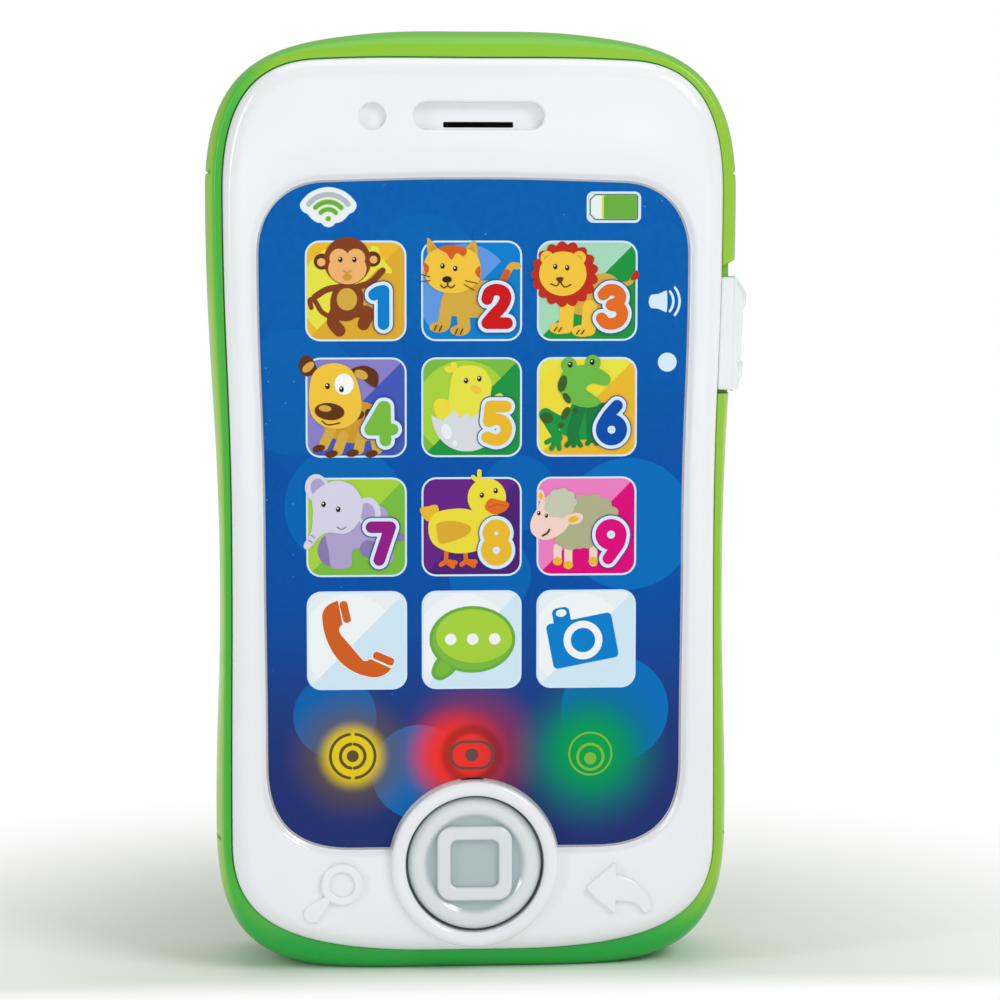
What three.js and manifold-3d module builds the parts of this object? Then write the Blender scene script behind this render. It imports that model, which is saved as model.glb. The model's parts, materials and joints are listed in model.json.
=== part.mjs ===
// Toy cell phone, standing upright. Millimetres: +X to the phone's right as seen from the front,
// +Z up along the phone, front facing -Y. The origin is the centre of the flat standing face.
import * as THREE from "three";
import { mergeVertices } from "three/addons/utils/BufferGeometryUtils.js";
import Module from "manifold-3d";

const wasm = await Module();
wasm.setup();

// Driving dimensions ------------------------------------------------------------------------

const GAP = 0.3; // clearance between neighbouring pieces
const SEAT = 0.05; // a mounted piece stands this far off the face that carries it
const WALL = 2.2;

// Levels through the thickness, front to back.
const CREST_Y = -12.5;
const FILM_FRONT_Y = -10.8;
const FILM_BACK_Y = -10.5;
const FLOOR_FRONT_Y = -10.4;
const FLOOR_BACK_Y = -8.9;
const COVER_SIDE_Y = -9.8;
const COVER_BACK_Y = -6.5;
const RIM_Y = -9.5;
const BOARD_FRONT_Y = -6;
const BOARD_BACK_Y = -4.4;
const BULGE_FRONT_Y = -2;
const BULGE_BACK_Y = 5;
const BACK_INSIDE_Y = 10.4;
const BACK_Y = 12.5;
const BACK_EDGE_INSET = 6;
const EDGE_ROUND = 4; // how far the front cover's outer edge rounds inwards

// Outlines seen from the front. low, waist and high are where a side is widest, narrowest and
// widest again; shoulder is where the corner runs into the crown with the given slope.
const BULGE = {
  bottom: -1.2,
  flat: 15,
  lowReach: 21.5,
  low: [41.35, 23.6],
  lowDrop: 18,
  waist: [40.5, 61.5],
  high: [42.4, 124],
  highRise: 19,
  shoulder: [21.2, 149],
  slope: 0.14,
  shoulderReach: 13,
  top: 150,
};
const COVER = {
  bottom: 3.35,
  flat: 6,
  lowReach: 26,
  low: [38.6, 21],
  lowDrop: 11.5,
  waist: [38.3, 69],
  high: [39.4, 124.5],
  highRise: 15.3,
  shoulder: [24.7, 145],
  slope: 0.05,
  shoulderReach: 8.6,
  top: 145.3,
};
const FILM = {
  bottom: 20.3,
  flat: 19.5,
  lowReach: 12,
  low: [32.8, 34],
  lowDrop: 6,
  waist: [33, 70],
  high: [33.85, 114.5],
  highRise: 7,
  shoulder: [23.5, 125.9],
  slope: 0.03,
  shoulderReach: 6.2,
  top: 126.4,
};

const HOME = { x: 0, z: 17.7, bore: 11.05, collar: 13.4, crestY: -13.2, pins: 8.5 };
const EARPIECE = { x: 0.6, z: 136.2, width: 20.5, height: 4.3, depth: 1.5 };
const SLIT = { z: 134.9, width: 11, height: 0.9 };
const LENS_DOT = { x: -16, z: 136.1, radius: 2.1, depth: 1 };
const SIGN_RELIEF = 0.4; // height of the magnifier and arrow above the cover
const MAGNIFIER = { x: -21.2, z: 14.7, outer: 3.35, inner: 2.05, handle: 6.6 };
const ARROW = { x: 17.9, z: 13.5 };
const LIGHTS = [
  { name: "led_yellow", x: -19.4, color: 0xe8c020 },
  { name: "led_red", x: -0.4, color: 0xd02a20 },
  { name: "led_green", x: 18.6, color: 0x20a050 },
];
const LIGHT_Z = 35.1;
const LIGHT_WINDOW = 4.4;

const BOARD = { half: 33, bottom: 8.5, step: 25, stepHalf: 24, top: 112 };
const CHIP = { x: -8, z: 70 };
const CAPACITOR = { x: 27.5, z: 60 };
const SPEAKER = { x: 0, z: 129, radius: 13.5 };

const BAY = { half: 17, bottom: 40, top: 91.6, floorY: -0.6, wall: 1.7 };
const CELL = { radius: 5.25, length: 44.5, pitch: 11.2, y: 5, nub: 1, nubRadius: 1.9 };
const CONTACT = { thick: 0.4, width: 9, depth: 9 };
const DOOR = { half: 20, bottom: 30, top: 97, thick: 1.8, corner: 3, screwZ: 34.5, web: 0.9 };
const DOOR_TAB = { x: 12, half: 3, reach: 2.5, thick: 1 };

const HOUSING_SCREWS = [
  [-31.5, 15],
  [31.5, 15],
  [-31.5, 131],
  [31.5, 131],
];
const BOARD_SCREWS = [
  [-29, 31],
  [29, 31],
  [-29, 107],
  [29, 107],
];
const HOUSING_SEAT_Y = 3; // floor of the screw wells in the back

const KNOB = { low: 93, high: 111.3, inner: 41.3, outer: 44.5, y: 1.75, frontY: -8.8, backY: 5.5 };
const KNOB_TRAVEL = 1.8;
// The lobe is the knob's front edge, which reaches in over the cut rim to the cover's side.
const KNOB_LOBE = { lowInner: 39.2, highInner: 39.75, backY: -6.75 };
const RECESS = { low: 92.6, high: 114.2, floor: 40.9, frontY: -6.4, backY: 6.15 };
// The knob's neck passes the shell wall; a keeper plate behind the wall holds it in.
const KNOB_NECK = { low: 97, high: 107, half: 1.4, plateInner: 36.9, plateOuter: 38.9 };
const SWITCH = { inner: 26, outer: 33, low: 94, high: 105, backY: 0.8 };
const LEVER = { low: 96.8, high: 98.8, frontY: -1.1, backY: 0 };

const COIL = { turns: 3.25, wide: 3.6, narrow: 2.2, wire: 0.35 };
const WIRE_RADIUS = 0.5;

// Facets round a circle, by how large the round piece is.
const LARGE_ROUND = 32;
const MEDIUM_ROUND = 20;
const SMALL_ROUND = 12;
const TINY_ROUND = 10;
const CORNER_STEPS = 8;
const SIDE_STEPS = 3;

// Materials ---------------------------------------------------------------------------------

function finish(color, roughness, metalness = 0) {
  return new THREE.MeshStandardMaterial({ color, roughness, metalness });
}

const MATERIALS = {
  white: finish(0xeef1f3, 0.25),
  green: finish(0x93c53c, 0.35),
  film: finish(0x005ca8, 0.2),
  grey: finish(0xb9c6c8, 0.35),
  milky: finish(0xe2eaea, 0.3),
  silicone: finish(0xd8d8d0, 0.6),
  board: finish(0x2c6e3f, 0.5),
  black: finish(0x1c1c1e, 0.45),
  steel: finish(0xa9adb2, 0.35, 1),
  nickel: finish(0xc8c8c4, 0.3, 1),
  cell: finish(0x3a4250, 0.35),
  paper: finish(0x2b2b2b, 0.85),
  red: finish(0xb02a22, 0.5),
};

// Solid helpers -----------------------------------------------------------------------------

// A closed three.js geometry as a manifold solid, turned to face outwards.
function solid(geometry) {
  const bare = geometry.index ? geometry.clone() : geometry;
  bare.deleteAttribute("normal");
  bare.deleteAttribute("uv");
  const merged = mergeVertices(bare, 1e-4);
  const vertProperties = new Float32Array(merged.attributes.position.array);
  const triVerts = new Uint32Array(merged.index.array);
  const made = new wasm.Manifold(new wasm.Mesh({ numProp: 3, vertProperties, triVerts }));
  if (made.volume() > 0) return made;
  triVerts.reverse();
  return new wasm.Manifold(new wasm.Mesh({ numProp: 3, vertProperties, triVerts }));
}

function join(first, ...others) {
  return others.reduce((sum, other) => sum.add(other), first);
}

function cut(first, ...others) {
  return others.reduce((rest, other) => rest.subtract(other), first);
}

function piece(name, body, material) {
  const { vertProperties, triVerts } = body.getMesh();
  const geometry = new THREE.BufferGeometry();
  geometry.setAttribute("position", new THREE.BufferAttribute(vertProperties, 3));
  geometry.setIndex(new THREE.BufferAttribute(triVerts, 1));
  geometry.computeVertexNormals();
  const mesh = new THREE.Mesh(geometry, material);
  mesh.name = name;
  return mesh;
}

function box([x0, x1], [y0, y1], [z0, z1]) {
  const geometry = new THREE.BoxGeometry(x1 - x0, y1 - y0, z1 - z0);
  return solid(geometry.translate((x0 + x1) / 2, (y0 + y1) / 2, (z0 + z1) / 2));
}

// A round bar along Y.
function bar(radius, [y0, y1], x, z, sides = SMALL_ROUND) {
  const geometry = new THREE.CylinderGeometry(radius, radius, y1 - y0, sides);
  return solid(geometry.translate(x, (y0 + y1) / 2, z));
}

// A turned solid about a line along Y; the profile is [radius, y] pairs.
function turned(profile, x, z, sides = MEDIUM_ROUND) {
  const points = profile.map(([radius, y]) => new THREE.Vector2(radius, y));
  return solid(new THREE.LatheGeometry(points, sides).translate(x, 0, z));
}

// A turned solid about a line along Z; the profile is [radius, z] pairs.
function turnedUpright(profile, x, y, sides = MEDIUM_ROUND) {
  const points = profile.map(([radius, z]) => new THREE.Vector2(radius, z));
  const geometry = new THREE.LatheGeometry(points, sides).rotateX(Math.PI / 2);
  return solid(geometry.translate(x, y, 0));
}

// A flat outline of [x, z] pairs or Vector2 points, given thickness along Y.
function plate(points, [y0, y1]) {
  const shape = new THREE.Shape(points.map((p) => (p.isVector2 ? p : new THREE.Vector2(...p))));
  const geometry = new THREE.ExtrudeGeometry(shape, { depth: y1 - y0, bevelEnabled: false });
  return solid(geometry.rotateX(Math.PI / 2).translate(0, y1, 0));
}

function roundedRect(halfX, bottom, top, corner, steps = 3) {
  const centres = [
    [halfX - corner, bottom + corner, -Math.PI / 2],
    [halfX - corner, top - corner, 0],
    [-halfX + corner, top - corner, Math.PI / 2],
    [-halfX + corner, bottom + corner, Math.PI],
  ];
  return centres.flatMap(([x, z, start]) =>
    Array.from({ length: steps + 1 }, (_, i) => {
      const angle = start + (i / steps) * (Math.PI / 2);
      return new THREE.Vector2(x + corner * Math.cos(angle), z + corner * Math.sin(angle));
    }),
  );
}

function moved(points, x, z) {
  return points.map((p) => new THREE.Vector2(p.x + x, p.y + z));
}

// A round wire along a smooth path.
function wire(points, radius) {
  const path = new THREE.CatmullRomCurve3(points.map((p) => new THREE.Vector3(...p)));
  return tube(path, radius, 8, 8);
}

function tube(path, radius, sides, steps) {
  const section = new THREE.Shape(
    Array.from({ length: sides }, (_, i) => {
      const angle = (i / sides) * 2 * Math.PI;
      return new THREE.Vector2(radius * Math.cos(angle), radius * Math.sin(angle));
    }),
  );
  return solid(new THREE.ExtrudeGeometry(section, { extrudePath: path, steps }));
}

// Outlines ----------------------------------------------------------------------------------

// The phone's outline as a closed loop of points, from the bottom centre up the right side.
function outline(o) {
  const at = (x, z) => new THREE.Vector2(x, z);
  const [lowX, lowZ] = o.low;
  const [waistX, waistZ] = o.waist;
  const [highX, highZ] = o.high;
  const [shoulderX, shoulderZ] = o.shoulder;
  const ease = 0.45; // how long the straight-up handles at waist and wide points are
  const lowerEase = (waistZ - lowZ) * ease;
  const upperEase = (highZ - waistZ) * ease;
  const crownReach = shoulderX * 0.4;
  const stretches = [
    [new THREE.LineCurve(at(0, o.bottom), at(o.flat, o.bottom)), 1],
    [
      curve(
        at(o.flat, o.bottom),
        at(o.flat + o.lowReach, o.bottom),
        at(lowX, lowZ - o.lowDrop),
        at(lowX, lowZ),
      ),
      CORNER_STEPS,
    ],
    [
      curve(
        at(lowX, lowZ),
        at(lowX, lowZ + lowerEase),
        at(waistX, waistZ - lowerEase),
        at(waistX, waistZ),
      ),
      SIDE_STEPS,
    ],
    [
      curve(
        at(waistX, waistZ),
        at(waistX, waistZ + upperEase),
        at(highX, highZ - upperEase),
        at(highX, highZ),
      ),
      SIDE_STEPS,
    ],
    [
      curve(
        at(highX, highZ),
        at(highX, highZ + o.highRise),
        at(shoulderX + o.shoulderReach, shoulderZ - o.shoulderReach * o.slope),
        at(shoulderX, shoulderZ),
      ),
      CORNER_STEPS,
    ],
    [
      curve(
        at(shoulderX, shoulderZ),
        at(shoulderX - crownReach, shoulderZ + crownReach * o.slope),
        at(crownReach, o.top),
        at(0, o.top),
      ),
      SIDE_STEPS,
    ],
  ];
  const right = stretches.flatMap(([stretch, steps]) => stretch.getPoints(steps).slice(0, -1));
  const left = right.slice(1).map((p) => at(-p.x, p.y));
  return [...right, at(0, o.top), ...left.reverse()];
}

function curve(start, startHandle, endHandle, end) {
  return new THREE.CubicBezierCurve(start, startHandle, endHandle, end);
}

// The loop moved inwards by a distance, or outwards where it is negative.
function inset(loop, distance) {
  return loop.map((p, i) => {
    const before = loop[(i + loop.length - 1) % loop.length];
    const after = loop[(i + 1) % loop.length];
    const along = after.clone().sub(before).normalize();
    return new THREE.Vector2(p.x - along.y * distance, p.y + along.x * distance);
  });
}

function between(loopA, loopB, share) {
  return loopA.map((p, i) => p.clone().lerp(loopB[i], share));
}

// A closed solid through rings of [y, loop], each loop having the same number of points.
function loft(rings) {
  const count = rings[0][1].length;
  const positions = rings.flatMap(([y, loop]) => loop.flatMap((p) => [p.x, y, p.y]));
  const triangles = [];
  for (let ring = 0; ring < rings.length - 1; ring += 1) {
    for (let i = 0; i < count; i += 1) {
      const a = ring * count + i;
      const b = ring * count + ((i + 1) % count);
      triangles.push(a, a + count, b, b, a + count, b + count);
    }
  }
  const firstCap = THREE.ShapeUtils.triangulateShape(rings[0][1], []);
  const lastCap = THREE.ShapeUtils.triangulateShape(rings.at(-1)[1], []);
  const lastStart = (rings.length - 1) * count;
  firstCap.forEach(([a, b, c]) => triangles.push(a, b, c));
  lastCap.forEach(([a, b, c]) => triangles.push(lastStart + a, lastStart + c, lastStart + b));
  const geometry = new THREE.BufferGeometry();
  geometry.setAttribute("position", new THREE.Float32BufferAttribute(positions, 3));
  geometry.setIndex(triangles);
  return solid(geometry);
}

// Steps of a quarter round, as the sines and cosines of its angles.
function quarter(steps) {
  return Array.from({ length: steps }, (_, i) => {
    const angle = ((i + 1) / steps) * (Math.PI / 2);
    return { sin: Math.sin(angle), cos: Math.cos(angle) };
  });
}

const bulgeLoop = outline(BULGE);
const coverLoop = outline(COVER);
const filmLoop = outline(FILM);

// Front cover and screen --------------------------------------------------------------------

function coverShell() {
  const edge = quarter(3).map(({ sin, cos }) => [
    COVER_SIDE_Y + (CREST_Y - COVER_SIDE_Y) * sin,
    inset(coverLoop, EDGE_ROUND * (1 - cos)),
  ]);
  const blank = loft([[COVER_BACK_Y, coverLoop], [COVER_SIDE_Y, coverLoop], ...edge]);
  const pocket = loft([
    [CREST_Y - 1, inset(filmLoop, -2.4)],
    [CREST_Y, inset(filmLoop, -1.6)],
    [CREST_Y + 0.8, inset(filmLoop, -0.7)],
    [FLOOR_FRONT_Y, inset(filmLoop, -GAP)],
  ]);
  const inside = loft([
    [COVER_BACK_Y + 1, inset(coverLoop, WALL)],
    [FLOOR_BACK_Y, inset(coverLoop, WALL)],
  ]);
  return cut(blank, pocket, inside, bezelHollow());
}

// The cover's thick top and bottom are hollow from behind, except round their features.
function bezelHollow() {
  const depth = [FLOOR_FRONT_Y, FLOOR_BACK_Y + 1];
  const frame = loft(depth.map((y) => [y, inset(coverLoop, 4.6)]));
  const screen = plate(inset(filmLoop, -2), depth);
  const collar = bar(HOME.collar + 1.6, depth, HOME.x, HOME.z, MEDIUM_ROUND);
  const ear = box([-13, 14], depth, [132.4, 140]);
  const dot = bar(LENS_DOT.radius + 1.4, depth, LENS_DOT.x, LENS_DOT.z);
  return cut(frame, screen, collar, ear, dot);
}

function homeCollar() {
  const { bore, collar, crestY } = HOME;
  return turned(
    [
      [bore, FLOOR_BACK_Y],
      [bore, crestY + 0.9],
      [bore + 0.35, crestY + 0.25],
      [bore + 1, crestY],
      [bore + 1.6, crestY + 0.25],
      [collar - 0.2, crestY + 1],
      [collar, crestY + 2],
      [collar, FLOOR_BACK_Y],
      [bore, FLOOR_BACK_Y],
    ],
    HOME.x,
    HOME.z,
    LARGE_ROUND,
  );
}

function magnifierSign() {
  const { x, z, outer, inner, handle } = MAGNIFIER;
  const depth = [CREST_Y - SIGN_RELIEF, CREST_Y + 0.6];
  const ring = bar(outer, depth, x, z, MEDIUM_ROUND);
  const lens = cut(ring, bar(inner, [depth[0] - 1, CREST_Y], x, z, MEDIUM_ROUND));
  const lean = (5 / 4) * Math.PI; // the handle points down to the left
  const around = (radius, angle, cx, cz) => [cx + radius * Math.cos(angle), cz + radius * Math.sin(angle)];
  const [endX, endZ] = around(handle, lean, x, z);
  const steps = 6;
  const roundEnd = Array.from({ length: steps + 1 }, (_, i) =>
    around(1.5, lean - Math.PI / 2 + (i / steps) * Math.PI, endX, endZ),
  );
  const root = [0.2, -0.2].map((turn) => around(outer * 0.9, lean + turn, x, z));
  return join(lens, plate([...roundEnd, ...root], depth));
}

// A turn-back arrow: a head pointing left and a tail that curves down to the right.
function arrowSign() {
  const { x, z } = ARROW;
  const sign = new THREE.Shape();
  sign.moveTo(x, z);
  sign.lineTo(x + 4.4, z + 3.7);
  sign.lineTo(x + 4.4, z + 1.6);
  sign.bezierCurveTo(x + 8, z + 1.6, x + 10.2, z - 0.4, x + 10.2, z - 4);
  sign.bezierCurveTo(x + 8.6, z - 2, x + 7, z - 1.6, x + 4.4, z - 1.6);
  sign.lineTo(x + 4.4, z - 3.7);
  sign.closePath();
  const points = sign.getPoints(5);
  if (points[0].equals(points.at(-1))) points.pop();
  return plate(points, [CREST_Y - SIGN_RELIEF, CREST_Y + 0.6]);
}

function coverBosses() {
  const housing = HOUSING_SCREWS.map(([x, z]) => bar(3.2, [FLOOR_FRONT_Y - 0.3, -1], x, z));
  const board = BOARD_SCREWS.map(([x, z]) => bar(2.4, [FLOOR_BACK_Y - 0.3, BOARD_FRONT_Y - SEAT], x, z));
  const seat = cut(
    bar(SPEAKER.radius + 1.3, [FLOOR_BACK_Y - 0.3, -7], SPEAKER.x, SPEAKER.z, LARGE_ROUND),
    bar(SPEAKER.radius + 0.3, [FLOOR_BACK_Y, -6], SPEAKER.x, SPEAKER.z, LARGE_ROUND),
  );
  return [...housing, ...board, seat];
}

function coverHoles() {
  const through = [CREST_Y - 2, FLOOR_BACK_Y + 1];
  const { x, z, width, height, depth } = EARPIECE;
  const stadium = moved(roundedRect(width / 2, -height / 2, height / 2, height / 2 - 0.01), x, z);
  return [
    bar(HOME.bore, [CREST_Y - 3, FLOOR_BACK_Y + 1], HOME.x, HOME.z, LARGE_ROUND),
    plate(stadium, [CREST_Y - 1, CREST_Y + depth]),
    box(
      [x - SLIT.width / 2, x + SLIT.width / 2],
      through,
      [SLIT.z - SLIT.height / 2, SLIT.z + SLIT.height / 2],
    ),
    bar(LENS_DOT.radius, [CREST_Y - 1, CREST_Y + LENS_DOT.depth], LENS_DOT.x, LENS_DOT.z),
    ...LIGHTS.map((light) => bar(LIGHT_WINDOW, through, light.x, LIGHT_Z, MEDIUM_ROUND)),
    ...HOUSING_SCREWS.map(([sx, sz]) => bar(1.4, [-9.4, 0], sx, sz, TINY_ROUND)),
    ...BOARD_SCREWS.map(([sx, sz]) => bar(1.2, [-9.9, BOARD_FRONT_Y + 1], sx, sz, TINY_ROUND)),
  ];
}

function frontCover() {
  const raised = join(coverShell(), homeCollar(), magnifierSign(), arrowSign(), ...coverBosses());
  return cut(raised, ...coverHoles());
}

function screenFilm() {
  const sheet = plate(filmLoop, [FILM_FRONT_Y, FILM_BACK_Y]);
  const span = [FILM_FRONT_Y - 1, FILM_BACK_Y + 1];
  return cut(sheet, bar(HOME.collar + GAP, span, HOME.x, HOME.z, LARGE_ROUND));
}

// Rear cover --------------------------------------------------------------------------------

// From the rim the section swells to the bulge, runs straight and rounds into the flat back.
function rearBlank() {
  const rim = inset(coverLoop, -0.9);
  const swell = BULGE_FRONT_Y - RIM_Y;
  const front = quarter(4).map(({ sin, cos }) => [
    BULGE_FRONT_Y - swell * cos,
    between(rim, bulgeLoop, sin),
  ]);
  const round = BACK_Y - BULGE_BACK_Y;
  const back = quarter(5).map(({ sin, cos }) => [
    BULGE_BACK_Y + round * sin,
    inset(bulgeLoop, BACK_EDGE_INSET * (1 - cos)),
  ]);
  return loft([[RIM_Y, rim], ...front, [BULGE_BACK_Y, bulgeLoop], ...back]);
}

function rearHollow() {
  const mouth = inset(coverLoop, -GAP);
  const inner = inset(bulgeLoop, WALL);
  const ledge = COVER_BACK_Y + GAP;
  const hollow = loft([
    [RIM_Y - 1, mouth],
    [ledge, mouth],
    [ledge + 0.6, between(mouth, inner, 0.5)],
    [ledge + 2.4, inner],
    [BULGE_BACK_Y, inner],
    [BACK_INSIDE_Y - 2, inset(bulgeLoop, WALL + 1.2)],
    [BACK_INSIDE_Y, inset(bulgeLoop, WALL + 3)],
  ]);
  return cut(hollow, box([-60, 60], [ledge, 20], [-5, 2]));
}

function doorOpening() {
  const edge = roundedRect(DOOR.half + GAP, DOOR.bottom - GAP, DOOR.top + GAP, DOOR.corner);
  return plate(edge, [BACK_INSIDE_Y - 0.1, BACK_Y + 1]);
}

function batteryBox() {
  const { half, bottom, top, floorY, wall } = BAY;
  const landing = half + 5; // the door's long edges rest on a shelf this far out
  const shelf = [BACK_INSIDE_Y - 1.5, BACK_INSIDE_Y];
  const tub = box([-half - wall, half + wall], [floorY - wall, BACK_INSIDE_Y], [bottom - wall, top + wall]);
  const shelves = box([-landing, landing], shelf, [DOOR.bottom - 2, top + wall]);
  const bay = box([-half, half], [floorY, BACK_Y + 1], [bottom, top]);
  const ribs = [-1, 1].map((side) => {
    const x = (side * CELL.pitch) / 2;
    return box([x - 0.5, x + 0.5], [floorY - 0.5, floorY + 1.8], [bottom + 8, top - 8]);
  });
  const boss = bar(3.6, [1, BACK_INSIDE_Y], 0, DOOR.screwZ);
  return join(cut(join(tub, shelves), bay), boss, ...ribs);
}

function contactSlots() {
  return singleContacts().map(({ x, z }) =>
    box([x - 1.9, x + 1.9], [BAY.floorY - BAY.wall - 1, BAY.floorY + 0.5], [z - 0.5, z + 0.5]),
  );
}

function rearBosses() {
  return HOUSING_SCREWS.map(([x, z]) => bar(3.9, [-1 + GAP, BACK_INSIDE_Y + 1], x, z));
}

function rearWells() {
  return HOUSING_SCREWS.flatMap(([x, z]) => [
    bar(2.55, [HOUSING_SEAT_Y, BACK_Y + 1], x, z),
    bar(1.4, [-3, HOUSING_SEAT_Y + 1], x, z, TINY_ROUND),
  ]);
}

// The side recess, chamfered at its top end, its opening through the rim, and the slot for the neck.
function switchRecess() {
  const { low, high, floor, frontY, backY } = RECESS;
  const profile = [
    [floor, low],
    [floor + 6, low],
    [floor + 6, high + 4],
    [floor + 1.6, high],
    [floor, high - 0.8],
  ];
  const recess = plate(profile, [frontY, backY]);
  const opening = [
    [floor - 2.4, low],
    [floor + 6, low],
    [floor + 6, high + 4],
    [floor + 1.6, high],
    [floor + 0.4, high - 0.7],
    [floor - 1.1, high - 1.1],
    [floor - 1.5, high - 1.5],
    [floor - 1.5, high - 2.3],
    [floor - 2.4, high - 2.3],
  ];
  const rimCut = plate(opening, [RIM_Y - 1, frontY + 0.05]);
  const slotHalf = KNOB_NECK.half + GAP;
  const { y } = KNOB;
  const slot = box(
    [KNOB.inner - 6, KNOB.inner + 1],
    [y - slotHalf, y + slotHalf],
    [KNOB_NECK.low - GAP, KNOB_NECK.high + KNOB_TRAVEL + GAP],
  );
  return [recess, rimCut, slot];
}

// Shallow grooves across both sides, where the grip surface starts and ends.
function gripGrooves() {
  const levels = [21.2, 127.3];
  const width = 0.6;
  const skin = cut(
    plate(inset(bulgeLoop, -2), [BULGE_FRONT_Y - 4, BULGE_BACK_Y + 3]),
    plate(inset(bulgeLoop, 0.35), [BULGE_FRONT_Y - 5, BULGE_BACK_Y + 4]),
  );
  return levels.map((z) => skin.intersect(box([-60, 60], [-20, 20], [z, z + width])));
}

function rearCover() {
  const tray = cut(rearBlank(), rearHollow());
  const fitted = join(tray, batteryBox(), ...rearBosses());
  const below = box([-60, 60], [-20, 20], [-5, 0]);
  const openings = [doorOpening(), doorScrewHole(), ...contactSlots(), ...rearWells(), ...switchRecess()];
  return cut(fitted, below, ...openings, ...gripGrooves());
}

function doorScrewHole() {
  return bar(1.6, [2.5, BACK_INSIDE_Y + 1], 0, DOOR.screwZ);
}

// Battery door ------------------------------------------------------------------------------

function batteryDoor() {
  const inside = BACK_Y - DOOR.thick;
  const panel = plate(roundedRect(DOOR.half, DOOR.bottom, DOOR.top, DOOR.corner), [inside, BACK_Y]);
  const tabs = [-1, 1].flatMap((side) => {
    const x = side * DOOR_TAB.x;
    const span = [x - DOOR_TAB.half, x + DOOR_TAB.half];
    const tabBack = BACK_INSIDE_Y - 0.2;
    return [
      box(span, [tabBack - DOOR_TAB.thick, inside + 0.5], [DOOR.top - 1.6, DOOR.top - 0.4]),
      box(span, [tabBack - DOOR_TAB.thick, tabBack], [DOOR.top - 1.6, DOOR.top + DOOR_TAB.reach]),
    ];
  });
  const well = bar(2.55, [inside + DOOR.web, BACK_Y + 1], 0, DOOR.screwZ);
  const hole = bar(1.4, [inside - 1, BACK_Y], 0, DOOR.screwZ);
  const grips = [0, 1, 2].map((i) => {
    const low = DOOR.screwZ + 6 + i * 2;
    return box([-5, 5], [BACK_Y - 0.5, BACK_Y + 1], [low, low + 1]);
  });
  return cut(join(panel, ...tabs), well, hole, ...grips);
}

// Fasteners ---------------------------------------------------------------------------------

// A pan-head screw pointing to the front; the threads are left out.
function screw(x, z, { seatY, tipY, shank, head, headHeight }) {
  const top = seatY + headHeight;
  return turned(
    [
      [0, tipY],
      [shank * 0.4, tipY],
      [shank, tipY + 1.2],
      [shank, seatY],
      [head, seatY],
      [head, top - headHeight * 0.4],
      [head * 0.7, top],
      [head * 0.3, top],
      [head * 0.2, top - 0.4],
      [0, top - 0.4],
    ],
    x,
    z,
    TINY_ROUND,
  );
}

function housingScrew(x, z) {
  return screw(x, z, { seatY: HOUSING_SEAT_Y + SEAT, tipY: -7.5, shank: 1.05, head: 2.2, headHeight: 1.6 });
}

function boardScrew(x, z) {
  return screw(x, z, { seatY: BOARD_BACK_Y + SEAT, tipY: -9, shank: 0.85, head: 1.9, headHeight: 1.2 });
}

function doorScrew() {
  const seatY = BACK_Y - DOOR.thick + DOOR.web + SEAT;
  return screw(0, DOOR.screwZ, { seatY, tipY: 5.6, shank: 1.1, head: 2.3, headHeight: 0.8 });
}

// Controls ----------------------------------------------------------------------------------

// Lipped round cap with a rounded-square ring on it, a flange behind the cover and two guide pins.
function homeButton() {
  const { x, z, bore } = HOME;
  const cap = bore - 0.35;
  const face = CREST_Y + 0.2;
  const flangeFront = FLOOR_BACK_Y + GAP;
  const flangeBack = flangeFront + 1;
  const body = turned(
    [
      [0, face + 0.9],
      [7.4, face + 0.9],
      [8.2, face + 0.1],
      [8.8, face],
      [cap - 0.5, face + 0.25],
      [cap, face + 0.8],
      [cap, flangeFront],
      [cap + 1.3, flangeFront],
      [cap + 1.3, flangeBack],
      [0, flangeBack],
    ],
    x,
    z,
    LARGE_ROUND,
  );
  const square = cut(
    plate(moved(roundedRect(6, -6, 6, 2.4, 3), x, z), [face - 0.05, face + 1.4]),
    plate(moved(roundedRect(3.85, -3.85, 3.85, 1.2, 3), x, z), [face - 1, face + 0.6]),
  );
  const pins = [-1, 1].map((side) => bar(1.2, [flangeBack - 0.5, -3], x + side * HOME.pins, z, TINY_ROUND));
  return join(body, square, ...pins);
}

function buttonDome() {
  const base = BOARD_FRONT_Y - SEAT;
  return turned(
    [
      [0, base],
      [4.5, base],
      [4.5, base - 0.5],
      [3.4, base - 0.6],
      [2.4, base - 1.3],
      [0, base - 1.3],
    ],
    HOME.x,
    HOME.z,
  );
}

function switchKnob() {
  const { low, high, inner, outer, y, frontY, backY } = KNOB;
  const step = 0.9;
  const cap = plate(
    [
      [inner, low],
      [inner + 1.3, low + 0.5],
      [inner + 2.2, low + 1.9],
      [outer - step / 2, low + 2.6],
      [outer - step / 2, low + 4.2],
      [outer - step / 2 - 0.2, low + 4.6],
      [outer - step / 2, high - 5.2],
      [outer, high - 4.4],
      [outer - 0.1, high - 2.6],
      [inner + 2, high - 1.5],
      [inner + 1.2, high - 0.3],
      [inner, high],
    ],
    [frontY, backY],
  );
  const lobe = plate(
    [
      [KNOB_LOBE.lowInner, low + 0.3],
      [inner + 0.8, low + 0.3],
      [inner + 0.8, high - 0.25],
      [KNOB_LOBE.highInner, high - 0.25],
    ],
    [frontY, KNOB_LOBE.backY],
  );
  const { half: neckHalf, plateInner, plateOuter } = KNOB_NECK;
  const neck = box(
    [plateInner, inner + 0.5],
    [y - neckHalf, y + neckHalf],
    [KNOB_NECK.low, KNOB_NECK.high],
  );
  const keeper = box(
    [plateInner, plateOuter],
    [y - 3.2, y + 3.2],
    [KNOB_NECK.low - 1.5, KNOB_NECK.high + 1.5],
  );
  const fork = box(
    [plateInner - 1, plateInner + 1.6],
    [y - 4, y - 1.5],
    [LEVER.low - GAP, LEVER.high + GAP],
  );
  return cut(join(cap, lobe, neck, keeper), fork);
}

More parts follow.
